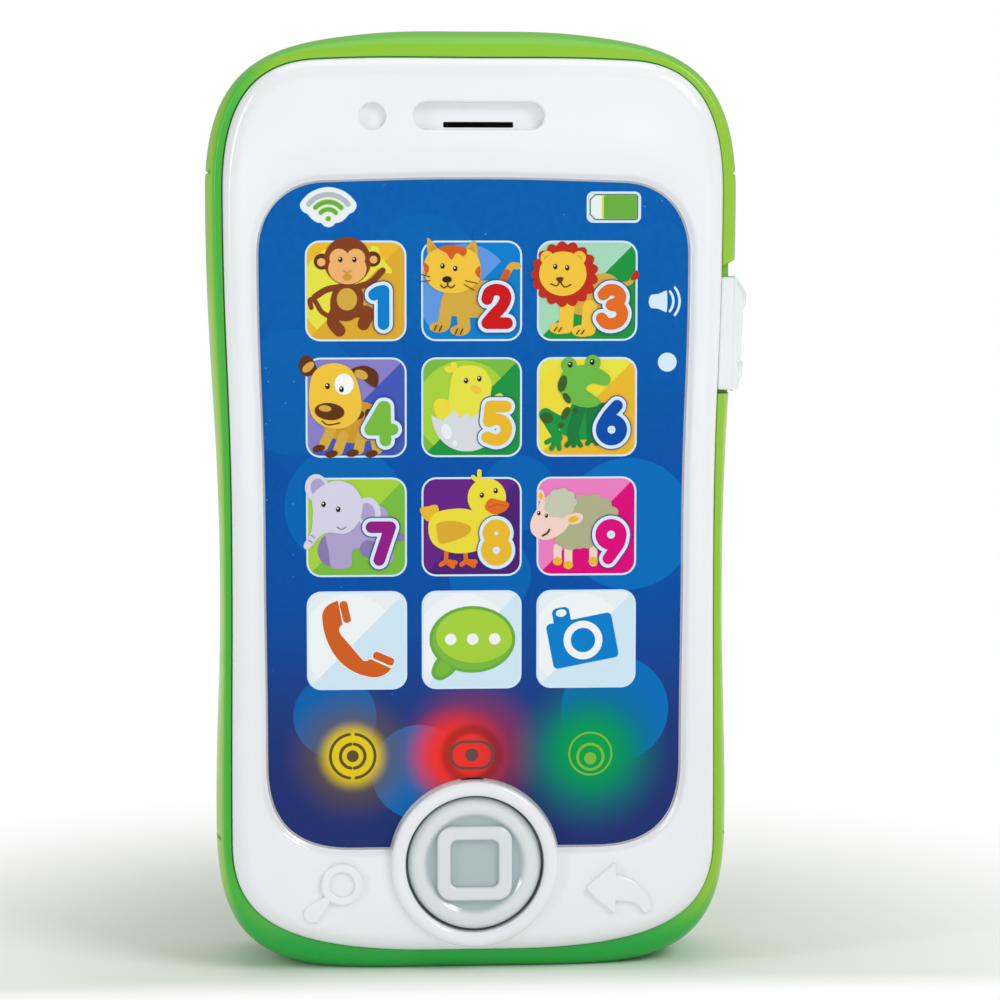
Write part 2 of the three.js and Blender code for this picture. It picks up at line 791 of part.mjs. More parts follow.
function slideSwitch() {
  const { inner, outer, low, high, backY } = SWITCH;
  const can = box([inner, outer], [BOARD_BACK_Y + SEAT, backY], [low, high]);
  const window = box(
    [outer - 2, outer + 1],
    [LEVER.frontY - GAP, LEVER.backY + GAP],
    [LEVER.low - GAP, LEVER.high + KNOB_TRAVEL + GAP],
  );
  return cut(can, window);
}

function switchLever() {
  const span = [SWITCH.outer - 1.7, KNOB_NECK.plateInner + 1.2];
  return box(span, [LEVER.frontY, LEVER.backY], [LEVER.low, LEVER.high]);
}

// Board and electronics ---------------------------------------------------------------------

function mainBoard() {
  const { half, bottom, step, stepHalf, top } = BOARD;
  const blank = plate(
    [
      [-stepHalf, bottom],
      [stepHalf, bottom],
      [stepHalf, step],
      [half, step],
      [half, top],
      [-half, top],
      [-half, step],
      [-stepHalf, step],
    ],
    [BOARD_FRONT_Y, BOARD_BACK_Y],
  );
  const span = [BOARD_FRONT_Y - 1, BOARD_BACK_Y + 1];
  const screwHoles = BOARD_SCREWS.map(([x, z]) => bar(1.3, span, x, z, TINY_ROUND));
  const pinHoles = [-1, 1].map((side) => bar(1.6, span, HOME.x + side * HOME.pins, HOME.z));
  return cut(blank, ...screwHoles, ...pinHoles);
}

function lightEmitter(x) {
  const base = BOARD_FRONT_Y - SEAT;
  return turned(
    [
      [0, base],
      [1.8, base],
      [1.8, base - 0.8],
      [1.5, base - 0.8],
      [1.5, base - 2.3],
      [1.1, base - 3.3],
      [0, base - 3.7],
    ],
    x,
    LIGHT_Z,
    SMALL_ROUND,
  );
}

function chipBlob() {
  const base = BOARD_BACK_Y + SEAT;
  return turned(
    [
      [0, base],
      [5.5, base],
      [5, base + 0.6],
      [3, base + 1.1],
      [0, base + 1.3],
    ],
    CHIP.x,
    CHIP.z,
  );
}

function capacitor() {
  const base = BOARD_BACK_Y + SEAT;
  return turned(
    [
      [0, base],
      [2.5, base],
      [2.5, base + 0.8],
      [2.25, base + 1.1],
      [2.5, base + 1.4],
      [2.5, base + 7],
      [0, base + 7],
    ],
    CAPACITOR.x,
    CAPACITOR.z,
    SMALL_ROUND,
  );
}

// Loudspeaker -------------------------------------------------------------------------------

function speakerBasket() {
  const r = SPEAKER.radius;
  return turned(
    [
      [r - 1.8, -8.5],
      [r, -8.5],
      [r, -7.5],
      [r - 1, -7.5],
      [9, -3.4],
      [6.9, -3.4],
      [6.9, -4],
      [8.6, -4],
      [r - 1.8, -7.6],
      [r - 1.8, -8.5],
    ],
    SPEAKER.x,
    SPEAKER.z,
    LARGE_ROUND,
  );
}

function speakerMagnet() {
  return turned(
    [
      [0, -4.2],
      [6.5, -4.2],
      [6.5, -3.1],
      [8, -3.1],
      [8, 0.4],
      [7.6, 0.8],
      [0, 0.8],
    ],
    SPEAKER.x,
    SPEAKER.z,
  );
}

function speakerCone() {
  const r = SPEAKER.radius - 2.1;
  return turned(
    [
      [0, -6.3],
      [3, -5.8],
      [5, -5.4],
      [r - 2.6, -7.7],
      [r - 1.6, -8.2],
      [r, -7.9],
      [r, -7.6],
      [r - 1.6, -7.9],
      [r - 2.6, -7.4],
      [5, -5],
      [0, -5],
    ],
    SPEAKER.x,
    SPEAKER.z,
  );
}

// Batteries and contacts --------------------------------------------------------------------

// Column places, each with the end that its positive nub points to.
const COLUMNS = [
  { x: -CELL.pitch, nubUp: true },
  { x: 0, nubUp: false },
  { x: CELL.pitch, nubUp: true },
];
const LOW_PLATE_Z = BAY.bottom + GAP;
const HIGH_PLATE_Z = BAY.top - GAP - CONTACT.thick;
const SPRING_LENGTH = BAY.top - BAY.bottom - 2 * (GAP + CONTACT.thick) - CELL.length - 3 * GAP;

function singleContacts() {
  return [
    { name: "contact_minus", x: -CELL.pitch, z: LOW_PLATE_Z + CONTACT.thick / 2 },
    { name: "contact_plus", x: CELL.pitch, z: HIGH_PLATE_Z + CONTACT.thick / 2 },
  ];
}

function cell({ x, nubUp }) {
  const { radius, length, nub, nubRadius, y } = CELL;
  const profile = [
    [0, 0],
    [radius - 0.6, 0],
    [radius, 0.5],
    [radius, length - nub - 0.5],
    [radius - 0.6, length - nub],
    [nubRadius, length - nub],
    [nubRadius, length - 0.2],
    [nubRadius - 0.3, length],
    [0, length],
  ];
  const low = nubUp ? HIGH_PLATE_Z - GAP : LOW_PLATE_Z + CONTACT.thick + GAP;
  const placed = profile.map(([r, along]) => [r, nubUp ? low - length + along : low + length - along]);
  return turnedUpright(placed, x, y);
}

// A contact plate over one or two columns; a single one has a solder tab through the bay floor.
function contactPlate(fromX, toX, z, tabX) {
  const half = CONTACT.width / 2;
  const span = [z, z + CONTACT.thick];
  const leaf = box([fromX - half, toX + half], [BAY.floorY + GAP, BAY.floorY + GAP + CONTACT.depth], span);
  if (tabX === undefined) return leaf;
  return join(leaf, box([tabX - 1.5, tabX + 1.5], [BAY.floorY - BAY.wall - 0.9, BAY.floorY + 1], span));
}

// A conical helix between the plate and the cell's flat end.
class ContactCoil extends THREE.Curve {
  constructor(x, low, high, wideLow) {
    super();
    Object.assign(this, { x, low, high, wideLow });
  }
  getPoint(share, target = new THREE.Vector3()) {
    const angle = share * COIL.turns * 2 * Math.PI;
    const widen = this.wideLow ? 1 - share : share;
    const radius = COIL.narrow + (COIL.wide - COIL.narrow) * widen;
    const z = THREE.MathUtils.lerp(this.low, this.high, share);
    return target.set(this.x + radius * Math.cos(angle), CELL.y + radius * Math.sin(angle), z);
  }
}
function contactSpring({ x, nubUp }) {
  const lift = COIL.wire + SEAT;
  const plateSide = nubUp ? LOW_PLATE_Z + CONTACT.thick : HIGH_PLATE_Z;
  const cellSide = nubUp ? plateSide + SPRING_LENGTH : plateSide - SPRING_LENGTH;
  const low = Math.min(plateSide, cellSide) + lift;
  const high = Math.max(plateSide, cellSide) - lift;
  return tube(new ContactCoil(x, low, high, nubUp), COIL.wire, 6, 28);
}

// Wires -------------------------------------------------------------------------------------

const BOARD_SOLDER_Y = BOARD_BACK_Y + WIRE_RADIUS + SEAT;
const TAB_Y = BAY.floorY - BAY.wall - 0.9 - WIRE_RADIUS - SEAT;

const WIRES = [
  {
    name: "wire_battery_minus",
    material: MATERIALS.black,
    route: [
      [-CELL.pitch, TAB_Y, 40.3],
      [-14, TAB_Y, 37],
      [-17, BOARD_SOLDER_Y + 0.1, 34],
      [-20, BOARD_SOLDER_Y, 31],
    ],
  },
  {
    name: "wire_battery_plus",
    material: MATERIALS.red,
    route: [
      [CELL.pitch, TAB_Y, 91.3],
      [13, TAB_Y, 95],
      [15, BOARD_SOLDER_Y + 0.1, 99],
      [16, BOARD_SOLDER_Y, 103],
    ],
  },
  {
    name: "wire_speaker_left",
    material: MATERIALS.black,
    route: [
      [-3, -2.4, 117.2],
      [-5, -2.4, 114],
      [-8, -3.2, 111],
      [-9, BOARD_SOLDER_Y, 107],
    ],
  },
  {
    name: "wire_speaker_right",
    material: MATERIALS.red,
    route: [
      [3, -2.4, 117.2],
      [4, -2.4, 114],
      [5, -3.2, 111],
      [5, BOARD_SOLDER_Y, 107],
    ],
  },
];

// Assembly ----------------------------------------------------------------------------------

const phone = new THREE.Group();
phone.add(
  piece("front_cover", frontCover(), MATERIALS.white),
  piece("screen_film", screenFilm(), MATERIALS.film),
  piece("rear_cover", rearCover(), MATERIALS.green),
  piece("battery_door", batteryDoor(), MATERIALS.green),
  piece("home_button", homeButton(), MATERIALS.grey),
  piece("button_dome", buttonDome(), MATERIALS.silicone),
  piece("switch_knob", switchKnob(), MATERIALS.milky),
  piece("switch_lever", switchLever(), MATERIALS.black),
  piece("slide_switch", slideSwitch(), MATERIALS.steel),
  piece("main_board", mainBoard(), MATERIALS.board),
  piece("chip_blob", chipBlob(), MATERIALS.black),
  piece("capacitor", capacitor(), MATERIALS.black),
  piece("speaker_basket", speakerBasket(), MATERIALS.steel),
  piece("speaker_magnet", speakerMagnet(), MATERIALS.nickel),
  piece("speaker_cone", speakerCone(), MATERIALS.paper),
  piece("contact_bridge_low", contactPlate(0, CELL.pitch, LOW_PLATE_Z), MATERIALS.nickel),
  piece("contact_bridge_high", contactPlate(-CELL.pitch, 0, HIGH_PLATE_Z), MATERIALS.nickel),
  piece("door_screw", doorScrew(), MATERIALS.steel),
);

for (const { name, x, z } of singleContacts()) {
  phone.add(piece(name, contactPlate(x, x, z - CONTACT.thick / 2, x), MATERIALS.nickel));
}
for (const { name, x, color } of LIGHTS) {
  phone.add(piece(name, lightEmitter(x), finish(color, 0.2)));
}
COLUMNS.forEach((column, i) => {
  phone.add(piece(`cell_${i + 1}`, cell(column), MATERIALS.cell));
  phone.add(piece(`contact_spring_${i + 1}`, contactSpring(column), MATERIALS.nickel));
});
HOUSING_SCREWS.forEach(([x, z], i) => {
  phone.add(piece(`housing_screw_${i + 1}`, housingScrew(x, z), MATERIALS.steel));
});
BOARD_SCREWS.forEach(([x, z], i) => {
  phone.add(piece(`board_screw_${i + 1}`, boardScrew(x, z), MATERIALS.steel));
});
for (const { name, material, route } of WIRES) {
  phone.add(piece(name, wire(route, WIRE_RADIUS), material));
}

export default phone;
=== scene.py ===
"""Looks for the toy cell phone: smooth housings, printed screen art, materials, light and camera.

Lengths are millimetres until a mesh is made. +X is right as seen from the front, +Y goes from the
screen to the back and +Z is up. The phone stands on Z = 0.
"""
import json
import math

import bmesh
import bpy
import numpy as np
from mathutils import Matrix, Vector
from mathutils.geometry import convex_hull_2d


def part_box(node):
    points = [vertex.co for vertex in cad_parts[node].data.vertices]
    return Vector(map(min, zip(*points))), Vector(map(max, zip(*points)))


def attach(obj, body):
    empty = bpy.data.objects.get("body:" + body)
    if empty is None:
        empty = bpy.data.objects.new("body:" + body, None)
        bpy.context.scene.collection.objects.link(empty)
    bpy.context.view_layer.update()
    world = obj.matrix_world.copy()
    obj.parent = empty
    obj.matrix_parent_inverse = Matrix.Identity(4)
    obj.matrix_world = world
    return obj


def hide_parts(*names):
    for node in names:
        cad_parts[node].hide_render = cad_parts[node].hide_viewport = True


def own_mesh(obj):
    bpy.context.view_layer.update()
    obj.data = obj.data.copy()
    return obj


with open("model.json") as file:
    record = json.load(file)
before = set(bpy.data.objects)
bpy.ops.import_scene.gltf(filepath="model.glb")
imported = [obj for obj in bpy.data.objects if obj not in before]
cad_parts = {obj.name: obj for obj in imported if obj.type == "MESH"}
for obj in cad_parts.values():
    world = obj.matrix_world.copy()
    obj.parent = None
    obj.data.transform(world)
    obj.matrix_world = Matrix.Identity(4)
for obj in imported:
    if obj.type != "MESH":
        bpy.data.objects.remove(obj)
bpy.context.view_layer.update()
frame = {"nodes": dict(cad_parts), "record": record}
MM = 0.001


def node_span(node):
    """The lowest and highest corner of a CAD node, in millimetres."""
    low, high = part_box(node)
    return low / MM, high / MM


# Driving dimensions ----------------------------------------------------------------------------

FILM_LOW, _ = node_span("screen_film")
KNOB_LOW, KNOB_HIGH = node_span("switch_knob")
REAR_LOW, REAR_HIGH = node_span("rear_cover")

GAP = 0.3
WALL = 2.2
CREST_Y = -12.5
FILM_Y = FILM_LOW.y
FILM_BACK_Y = -10.5
FLOOR_FRONT_Y = -10.4
FLOOR_BACK_Y = -8.9
SIDE_Y = -9.8
COVER_BACK_Y = -6.5
RIM_Y = REAR_LOW.y
BULGE_FRONT_Y = -2
BULGE_BACK_Y = 5
BACK_INSIDE_Y = 10.4
BACK_Y = REAR_HIGH.y
EDGE_ROUND = 3.2
BACK_EDGE_INSET = 6

# Outlines from the front: the side is widest at low and high and narrowest at waist.
BULGE = dict(bottom=-1.2, flat=15, low_reach=21.5, low=(41.35, 23.6), low_drop=18, waist=(40.5, 61.5),
             high=(42.4, 124), high_rise=19, shoulder=(21.2, 149), slope=0.14, reach=13, top=150)
COVER = dict(bottom=3.35, flat=6, low_reach=26, low=(38.6, 21), low_drop=11.5, waist=(38.3, 69),
             high=(39.4, 124.5), high_rise=15.3, shoulder=(24.7, 145), slope=0.05, reach=8.6, top=145.3)
FILM = dict(bottom=20.3, flat=19.5, low_reach=12, low=(32.8, 34), low_drop=6, waist=(33, 70),
            high=(33.85, 114.5), high_rise=7, shoulder=(23.5, 125.9), slope=0.03, reach=6.2, top=126.4)

HOME_X, HOME_Z, HOME_BORE, COLLAR = 0, 17.7, 11.05, 13.4
FLANGE_BACK_Y, BUTTON_STROKE = -7.6, 0.8
COLLAR_Y = -13.2
EARPIECE = dict(x=0.6, z=136.2, half_x=10.25, half_z=2.15, depth=1.5)
SLIT = dict(z=134.9, half_x=5.5, half_z=0.45)
LENS_DOT = dict(x=-16, z=136.1, radius=2.1, depth=1)
MAGNIFIER = (-21.2, 14.7)
ARROW_TIP = (17.9, 13.5)
KNOB_INNER = 41.3
LIGHT_Z = 35.1
LIGHTS_X = (-19.4, -0.4, 18.6)
HOUSING_SCREWS = [(-31.5, 15), (31.5, 15), (-31.5, 131), (31.5, 131)]
DOOR = dict(half=20, bottom=30, top=97, corner=3)
DOOR_SCREW_Z = 34.5
GROOVES_Z = (21.2, 127.3)
SWITCH_Y = 1.75
BAY = dict(half=17, bottom=40, top=91.6, floor=-0.6, wall=1.7)


# Solids ----------------------------------------------------------------------------------------
# A solid is (points, faces): an array of corners in millimetres and lists of corner numbers.

def joined(*solids):
    points, faces, start = [], [], 0
    for corners, sides in solids:
        points.append(corners)
        faces += [[start + i for i in side] for side in sides]
        start += len(corners)
    return np.vstack(points), faces


def loft(rings):
    """A closed solid through (y, loop) rings; y is a number or one number per point of the loop."""
    count = len(rings[0][1])
    points = np.vstack([np.column_stack([loop[:, 0], np.full(count, 0.0) + y, loop[:, 1]])
                        for y, loop in rings])
    faces = []
    for ring in range(len(rings) - 1):
        base = ring * count
        for i in range(count):
            j = (i + 1) % count
            faces.append([base + i, base + j, base + count + j, base + count + i])
    faces.append(list(range(count))[::-1])
    faces.append(list(range(len(points) - count, len(points))))
    return points, faces


def circle(radius, x=0.0, z=0.0, sides=64):
    angle = np.linspace(0, 2 * math.pi, sides, endpoint=False)
    return np.column_stack([x + radius * np.cos(angle), z + radius * np.sin(angle)])


def bar(radius, y0, y1, x, z, sides=48):
    return loft([(y0, circle(radius, x, z, sides)), (y1, circle(radius, x, z, sides))])


def turned(profile, x, z, sides=96):
    """A closed solid turned about a line along Y from (radius, y) pairs that start and end near the axis."""
    return loft([(y, circle(max(radius, 0.02), x, z, sides)) for radius, y in profile])


def rounded_rect(half_x, half_z, corner, x=0.0, z=0.0, steps=12):
    arc = np.linspace(0, math.pi / 2, steps + 1)
    turn = np.column_stack([np.cos(arc), np.sin(arc)]) * corner
    quarter = turn + [half_x - corner, half_z - corner]
    corners = [quarter, quarter[::-1] * [-1, 1], -quarter, quarter[::-1] * [1, -1]]
    return np.vstack(corners) + [x, z]


def block(x, y, z):
    loop = np.array([(x[0], z[0]), (x[1], z[0]), (x[1], z[1]), (x[0], z[1])], float)
    return loft([(y[0], loop), (y[1], loop)])


def bezier(a, b, c, d, steps):
    t = np.linspace(0, 1, steps, endpoint=False)[:, None]
    a, b, c, d = (np.array(p, float) for p in (a, b, c, d))
    return (1 - t) ** 3 * a + 3 * (1 - t) ** 2 * t * b + 3 * (1 - t) * t * t * c + t ** 3 * d


def outline(o):
    """The phone's outline as a loop of points, from the bottom centre up the right side and back."""
    (low_x, low_z), (waist_x, waist_z), (high_x, high_z) = o["low"], o["waist"], o["high"]
    shoulder_x, shoulder_z = o["shoulder"]
    slope, reach, top, flat, bottom = (o[k] for k in ("slope", "reach", "top", "flat", "bottom"))
    lower = (waist_z - low_z) * 0.45
    upper = (high_z - waist_z) * 0.45
    crown = shoulder_x * 0.4
    right = np.vstack([
        np.column_stack([np.linspace(0, flat, 14, endpoint=False), np.full(14, float(bottom))]),
        bezier((flat, bottom), (flat + o["low_reach"], bottom), (low_x, low_z - o["low_drop"]), o["low"], 44),
        bezier(o["low"], (low_x, low_z + lower), (waist_x, waist_z - lower), o["waist"], 20),
        bezier(o["waist"], (waist_x, waist_z + upper), (high_x, high_z - upper), o["high"], 24),
        bezier(o["high"], (high_x, high_z + o["high_rise"]), (shoulder_x + reach, shoulder_z - reach * slope),
               o["shoulder"], 44),
        bezier(o["shoulder"], (shoulder_x - crown, shoulder_z + crown * slope), (crown, top), (0, top), 20),
    ])
    left = right[1:][::-1] * [-1, 1]
    return np.vstack([right, [[0, top]], left])


def inset(loop, distance):
    """The loop moved inwards by a distance, or outwards where it is negative."""
    along = np.roll(loop, -1, axis=0) - np.roll(loop, 1, axis=0)
    along /= np.linalg.norm(along, axis=1)[:, None] + 1e-12
    return loop + np.column_stack([-along[:, 1], along[:, 0]]) * distance


def between(loop_a, loop_b, share):
    return loop_a * (1 - share) + loop_b * share


def distance_to(loop, points):
    """How far each point is from the nearest side of a loop."""
    a = loop[None]
    side = np.roll(loop, -1, axis=0)[None] - a
    rest = points[:, None] - a
    along = np.clip((rest * side).sum(2) / (side * side).sum(2), 0, 1)
    return np.linalg.norm(rest - along[..., None] * side, axis=2).min(1)


def above(loop, level):
    """The loop with what lies under a level pressed up to it."""
    return np.column_stack([loop[:, 0], np.maximum(loop[:, 1], level)])


def soft_plate(loop, back, front, rounding, steps=6):
    """A plate from back to front in Y whose front edge is rounded."""
    rings = [(back, inset(loop, -rounding * 0.4)), (front + rounding, loop)]
    for i in range(1, steps + 1):
        angle = i / steps * math.pi / 2
        rings.append((front + rounding * (1 - math.sin(angle)),
                      inset(loop, rounding * (1 - math.cos(angle)))))
    return loft(rings)


# Blender pieces --------------------------------------------------------------------------------

def make(name, solid, materials=(), slots=None, tidy=True):
    """A new object from a solid in millimetres; slots holds one material number per face."""
    points, faces = solid
    mesh = bpy.data.meshes.new(name)
    mesh.from_pydata((np.asarray(points, float) * MM).tolist(), [], faces)
    for material in materials:
        mesh.materials.append(material)
    if slots is not None:
        mesh.polygons.foreach_set("material_index", slots)
    if tidy:
        work = bmesh.new()
        work.from_mesh(mesh)
        bmesh.ops.recalc_face_normals(work, faces=work.faces)
        work.to_mesh(mesh)
        work.free()
    piece = bpy.data.objects.new(name, mesh)
    bpy.context.scene.collection.objects.link(piece)
    return piece


def bake_modifiers(piece):
    graph = bpy.context.evaluated_depsgraph_get()
    mesh = bpy.data.meshes.new_from_object(piece.evaluated_get(graph))
    piece.modifiers.clear()
    piece.data = mesh


def carve(piece, solid, operation="DIFFERENCE"):
    """Cuts a solid out of a piece, or joins it on with UNION."""
    tool = make("tool", solid)
    change = piece.modifiers.new(operation, "BOOLEAN")
    change.operation = operation
    change.object = tool
    change.solver = "EXACT"
    bake_modifiers(piece)
    bpy.data.objects.remove(tool)


def smooth(piece, angle=32):
    piece.data.shade_smooth()
    piece.data.set_sharp_from_angle(angle=math.radians(angle))
    weigh = piece.modifiers.new("even normals", "WEIGHTED_NORMAL")
    weigh.keep_sharp = True
    weigh.weight = 80
    bake_modifiers(piece)


def heal(piece):
    """Welds corners that a cut left doubled and closes any facet it left open."""
    work = bmesh.new()
    work.from_mesh(piece.data)
    bmesh.ops.remove_doubles(work, verts=work.verts, dist=0.0004 * MM)
    gaps = [edge for edge in work.edges if edge.is_boundary]
    if gaps:
        bmesh.ops.holes_fill(work, edges=gaps, sides=16)
        bmesh.ops.recalc_face_normals(work, faces=work.faces)
    work.to_mesh(piece.data)
    work.free()


def settle(piece, body, material, slot, *nodes, angle=32):
    """Smooths a finished piece, gives it its material and lets it stand for CAD nodes on a body."""
    heal(piece)
    piece.data.materials.clear()
    piece.data.materials.append(material)
    smooth(piece, angle)
    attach(piece, body)
    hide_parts(*nodes)
    return piece


# Materials -------------------------------------------------------------------------------------

def linear(colour):
    """An sRGB colour given as three numbers from 0 to 255, as the linear colour a shader takes."""
    share = [c / 255 for c in colour]
    return [c / 12.92 if c <= 0.04045 else ((c + 0.055) / 1.055) ** 2.4 for c in share] + [1]


class Surface:
    """A Principled material and the nodes that vary it over the surface, in the row frame."""

    def __init__(self, name, colour, roughness, **sockets):
        self.material = bpy.data.materials.new(name)
        self.material.use_nodes = True
        self.tree = self.material.node_tree
        self.shader = self.tree.nodes["Principled BSDF"]
        self.place = self.tree.nodes.new("ShaderNodeTexCoord").outputs["Object"]
        self.set("Base Color", linear(colour))
        self.set("Roughness", roughness)
        for socket, value in sockets.items():
            self.set(socket.replace("_", " "), value)

    def put(self, value, socket):
        if isinstance(value, bpy.types.NodeSocket):
            self.tree.links.new(value, socket)
        else:
            socket.default_value = value

    def set(self, socket, value):
        self.put(value, self.shader.inputs[socket])

    def math(self, operation, *values):
        made = self.tree.nodes.new("ShaderNodeMath")
        made.operation = operation
        for value, socket in zip(values, made.inputs):
            self.put(value, socket)
        return made.outputs[0]

    def ramp(self, value, start, end, low=0.0, high=1.0):
        """Low where value is at start, high where it is at end, and smooth between."""
        made = self.tree.nodes.new("ShaderNodeMapRange")
        made.interpolation_type = "SMOOTHSTEP"
        for value, socket in zip((value, start, end, low, high), made.inputs):
            self.put(value, socket)
        return made.outputs[0]

    def mix(self, share, a, b):
        made = self.tree.nodes.new("ShaderNodeMix")
        made.data_type = "RGBA"
        colours = [socket for socket in made.inputs if socket.type == "RGBA"]
        self.put(share, made.inputs[0])
        self.put(a, colours[0])
        self.put(b, colours[1])
        return [socket for socket in made.outputs if socket.type == "RGBA"][0]

    def noise(self, per_mm, detail=2.0, place=None):
        made = self.tree.nodes.new("ShaderNodeTexNoise")
        self.put(place or self.place, made.inputs["Vector"])
        made.inputs["Scale"].default_value = per_mm / MM
        made.inputs["Detail"].default_value = detail
        return made.outputs["Fac"]

    def axes(self):
        made = self.tree.nodes.new("ShaderNodeSeparateXYZ")
        self.put(self.place, made.inputs[0])
        return made.outputs

    def scaled_place(self, x, y, z):
        made = self.tree.nodes.new("ShaderNodeMapping")
        self.put(self.place, made.inputs["Vector"])
        made.inputs["Scale"].default_value = (x, y, z)
        return made.outputs[0]

    def reach(self, x, z):
        """How far the surface point is from the line through (x, z) along Y, in metres."""
        across, _, up = self.axes()
        side = self.math("SUBTRACT", across, x * MM)
        rise = self.math("SUBTRACT", up, z * MM)
        square = self.math("ADD", self.math("MULTIPLY", side, side), self.math("MULTIPLY", rise, rise))
        return self.math("SQRT", square)

    def bump(self, height, depth_mm):
        made = self.tree.nodes.new("ShaderNodeBump")
        self.put(height, made.inputs["Height"])
        made.inputs["Distance"].default_value = depth_mm * MM
        made.inputs["Strength"].default_value = 1.0
        self.set("Normal", made.outputs[0])

    def vary_roughness(self, low, high, per_mm=0.12):
        self.set("Roughness", self.ramp(self.noise(per_mm), 0.3, 0.7, low, high))


def moulded(name, colour, roughness, spread=0.05, grain=0.004, **sockets):
    """Moulded plastic: a fine skin texture, and gloss and colour that drift a little over it."""
    surface = Surface(name, colour, roughness, **sockets)
    surface.vary_roughness(roughness - spread, roughness + spread)
    tint = surface.ramp(surface.noise(0.05), 0.35, 0.65, 0.0, 0.35)
    surface.set("Base Color", surface.mix(tint, linear(colour), linear([c * 0.975 for c in colour])))
    surface.bump(surface.noise(3.5, 3), grain)
    return surface


def white_shell():
    surface = moulded("white_shell", (230, 233, 235), 0.215, grain=0.0015, Coat_Weight=0.35,
                      Coat_Roughness=0.07)
    return surface.material


LIME = (138, 192, 34)


def lime_plastic(name):
    """The lime that the rear cover and the door share; nothing in it changes as the door swings."""
    return moulded(name, LIME, 0.34, grain=0.002, Coat_Weight=0.12, Coat_Roughness=0.2)


def green_shell():
    """Lime plastic with painted shade: a deeper green where it faces up, down or front on the left, and near
    its foot.
    """
    # Painted shade colours: a mid green and a deep green laid over the lime by which way the surface faces
    # and how low it is.
    half_shade_green, deep = (58, 182, 40), (0, 172, 56)
    surface = lime_plastic("green_shell")
    across, _, up = surface.axes()
    geometry = surface.tree.nodes.new("ShaderNodeNewGeometry")
    facing = surface.tree.nodes.new("ShaderNodeSeparateXYZ")
    surface.put(geometry.outputs["Normal"], facing.inputs[0])
    right, back, rise = facing.outputs
    # Painted shade: the mid green on front faces at the far left and on faces turned upwards.
    forward = surface.math("MULTIPLY", surface.ramp(right, -0.96, -0.6), surface.ramp(back, 0.0, -0.25))
    painted_shade_left = surface.math("MULTIPLY", surface.ramp(across, -0.03, -0.038), forward)
    painted_shade_up = surface.ramp(rise, 0.25, 0.95, 0.0, 0.6)
    colour = surface.mix(surface.math("MAXIMUM", painted_shade_left, painted_shade_up), linear(LIME), linear(half_shade_green))
    # Painted shade: the deep green on faces turned downwards and near the bottom.
    foot = surface.math("MAXIMUM", surface.ramp(rise, -0.1, -0.6), surface.ramp(up, 0.014, 0.004))
    surface.set("Base Color", surface.mix(foot, colour, linear(deep)))
    return surface.material


def grey_button():
    """Grey plastic with painted shade: darker in its dish and on the floor of its square."""
    surface = moulded("grey_button", (210, 218, 220), 0.215, grain=0.0015, Coat_Weight=0.5,
                      Coat_Roughness=0.06)
    _, back, _ = surface.axes()
    # Painted shade: the further back a point lies, the darker the grey, so the recesses look shaded.
    recess_shade = surface.ramp(back, -0.0122, -0.01145)
    surface.set("Base Color", surface.mix(recess_shade, linear((213, 220, 222)), linear((166, 183, 185))))
    return surface


def metal(name, colour, roughness):
    surface = Surface(name, colour, roughness, Metallic=1.0)
    streaks = surface.noise(0.6, 4, surface.scaled_place(1, 1, 12))
    surface.set("Roughness", surface.ramp(streaks, 0.3, 0.7, roughness - 0.08, roughness + 0.12))
    surface.set("Base Color", surface.mix(streaks, linear(colour), linear([c * 0.86 for c in colour])))
    surface.bump(streaks, 0.004)
    return surface.material


def circuit_board():
    surface = Surface("circuit_board", (30, 104, 52), 0.35)
    across, _, up = surface.axes()
    step = surface.math("FLOOR", surface.math("MULTIPLY", up, 90.0))
    shifted = surface.math("ADD", across, surface.math("MULTIPLY", step, 0.0011))
    stripe = surface.math("FRACT", surface.math("MULTIPLY", shifted, 420.0))
    stripe = surface.math("ABSOLUTE", surface.math("SUBTRACT", stripe, 0.5))
    track = surface.math("MULTIPLY", surface.ramp(stripe, 0.16, 0.2),
                         surface.ramp(surface.noise(0.05), 0.49, 0.5))
    surface.set("Base Color", surface.mix(track, linear((30, 104, 52)), linear((62, 140, 70))))
    surface.bump(track, 0.03)
    return surface.material


def cell_sleeve():
    """The dark wrap of a plain battery, uneven in tone."""
    surface = Surface("cell_sleeve", (38, 48, 66), 0.28, Coat_Weight=0.4, Coat_Roughness=0.12)
    wrap = surface.ramp(surface.noise(0.3), 0.4, 0.6)
    surface.set("Base Color", surface.mix(wrap, linear((34, 42, 60)), linear((42, 54, 74))))
    surface.vary_roughness(0.22, 0.34)
    return surface.material


def gold_band():
    surface = Surface("cell_band", (196, 150, 74), 0.3, Metallic=0.8)
    surface.vary_roughness(0.24, 0.36)
    return surface.material


# Paler discs in the print: x, z, radius and how strongly each shows.
SCREEN_DISCS = [(-20.5, 75, 9.5, 0.5), (24.5, 72, 10.5, 0.75), (-22.2, 41.5, 6.6, 0.6),
                (22.5, 42.3, 8.6, 0.85), (2.5, 64, 6.5, 0.5), (-8.8, 32.4, 7.6, 0.75),
                (-28, 93, 10, 0.25), (7, 77, 6, 0.4), (-8, 112, 9, 0.2)]


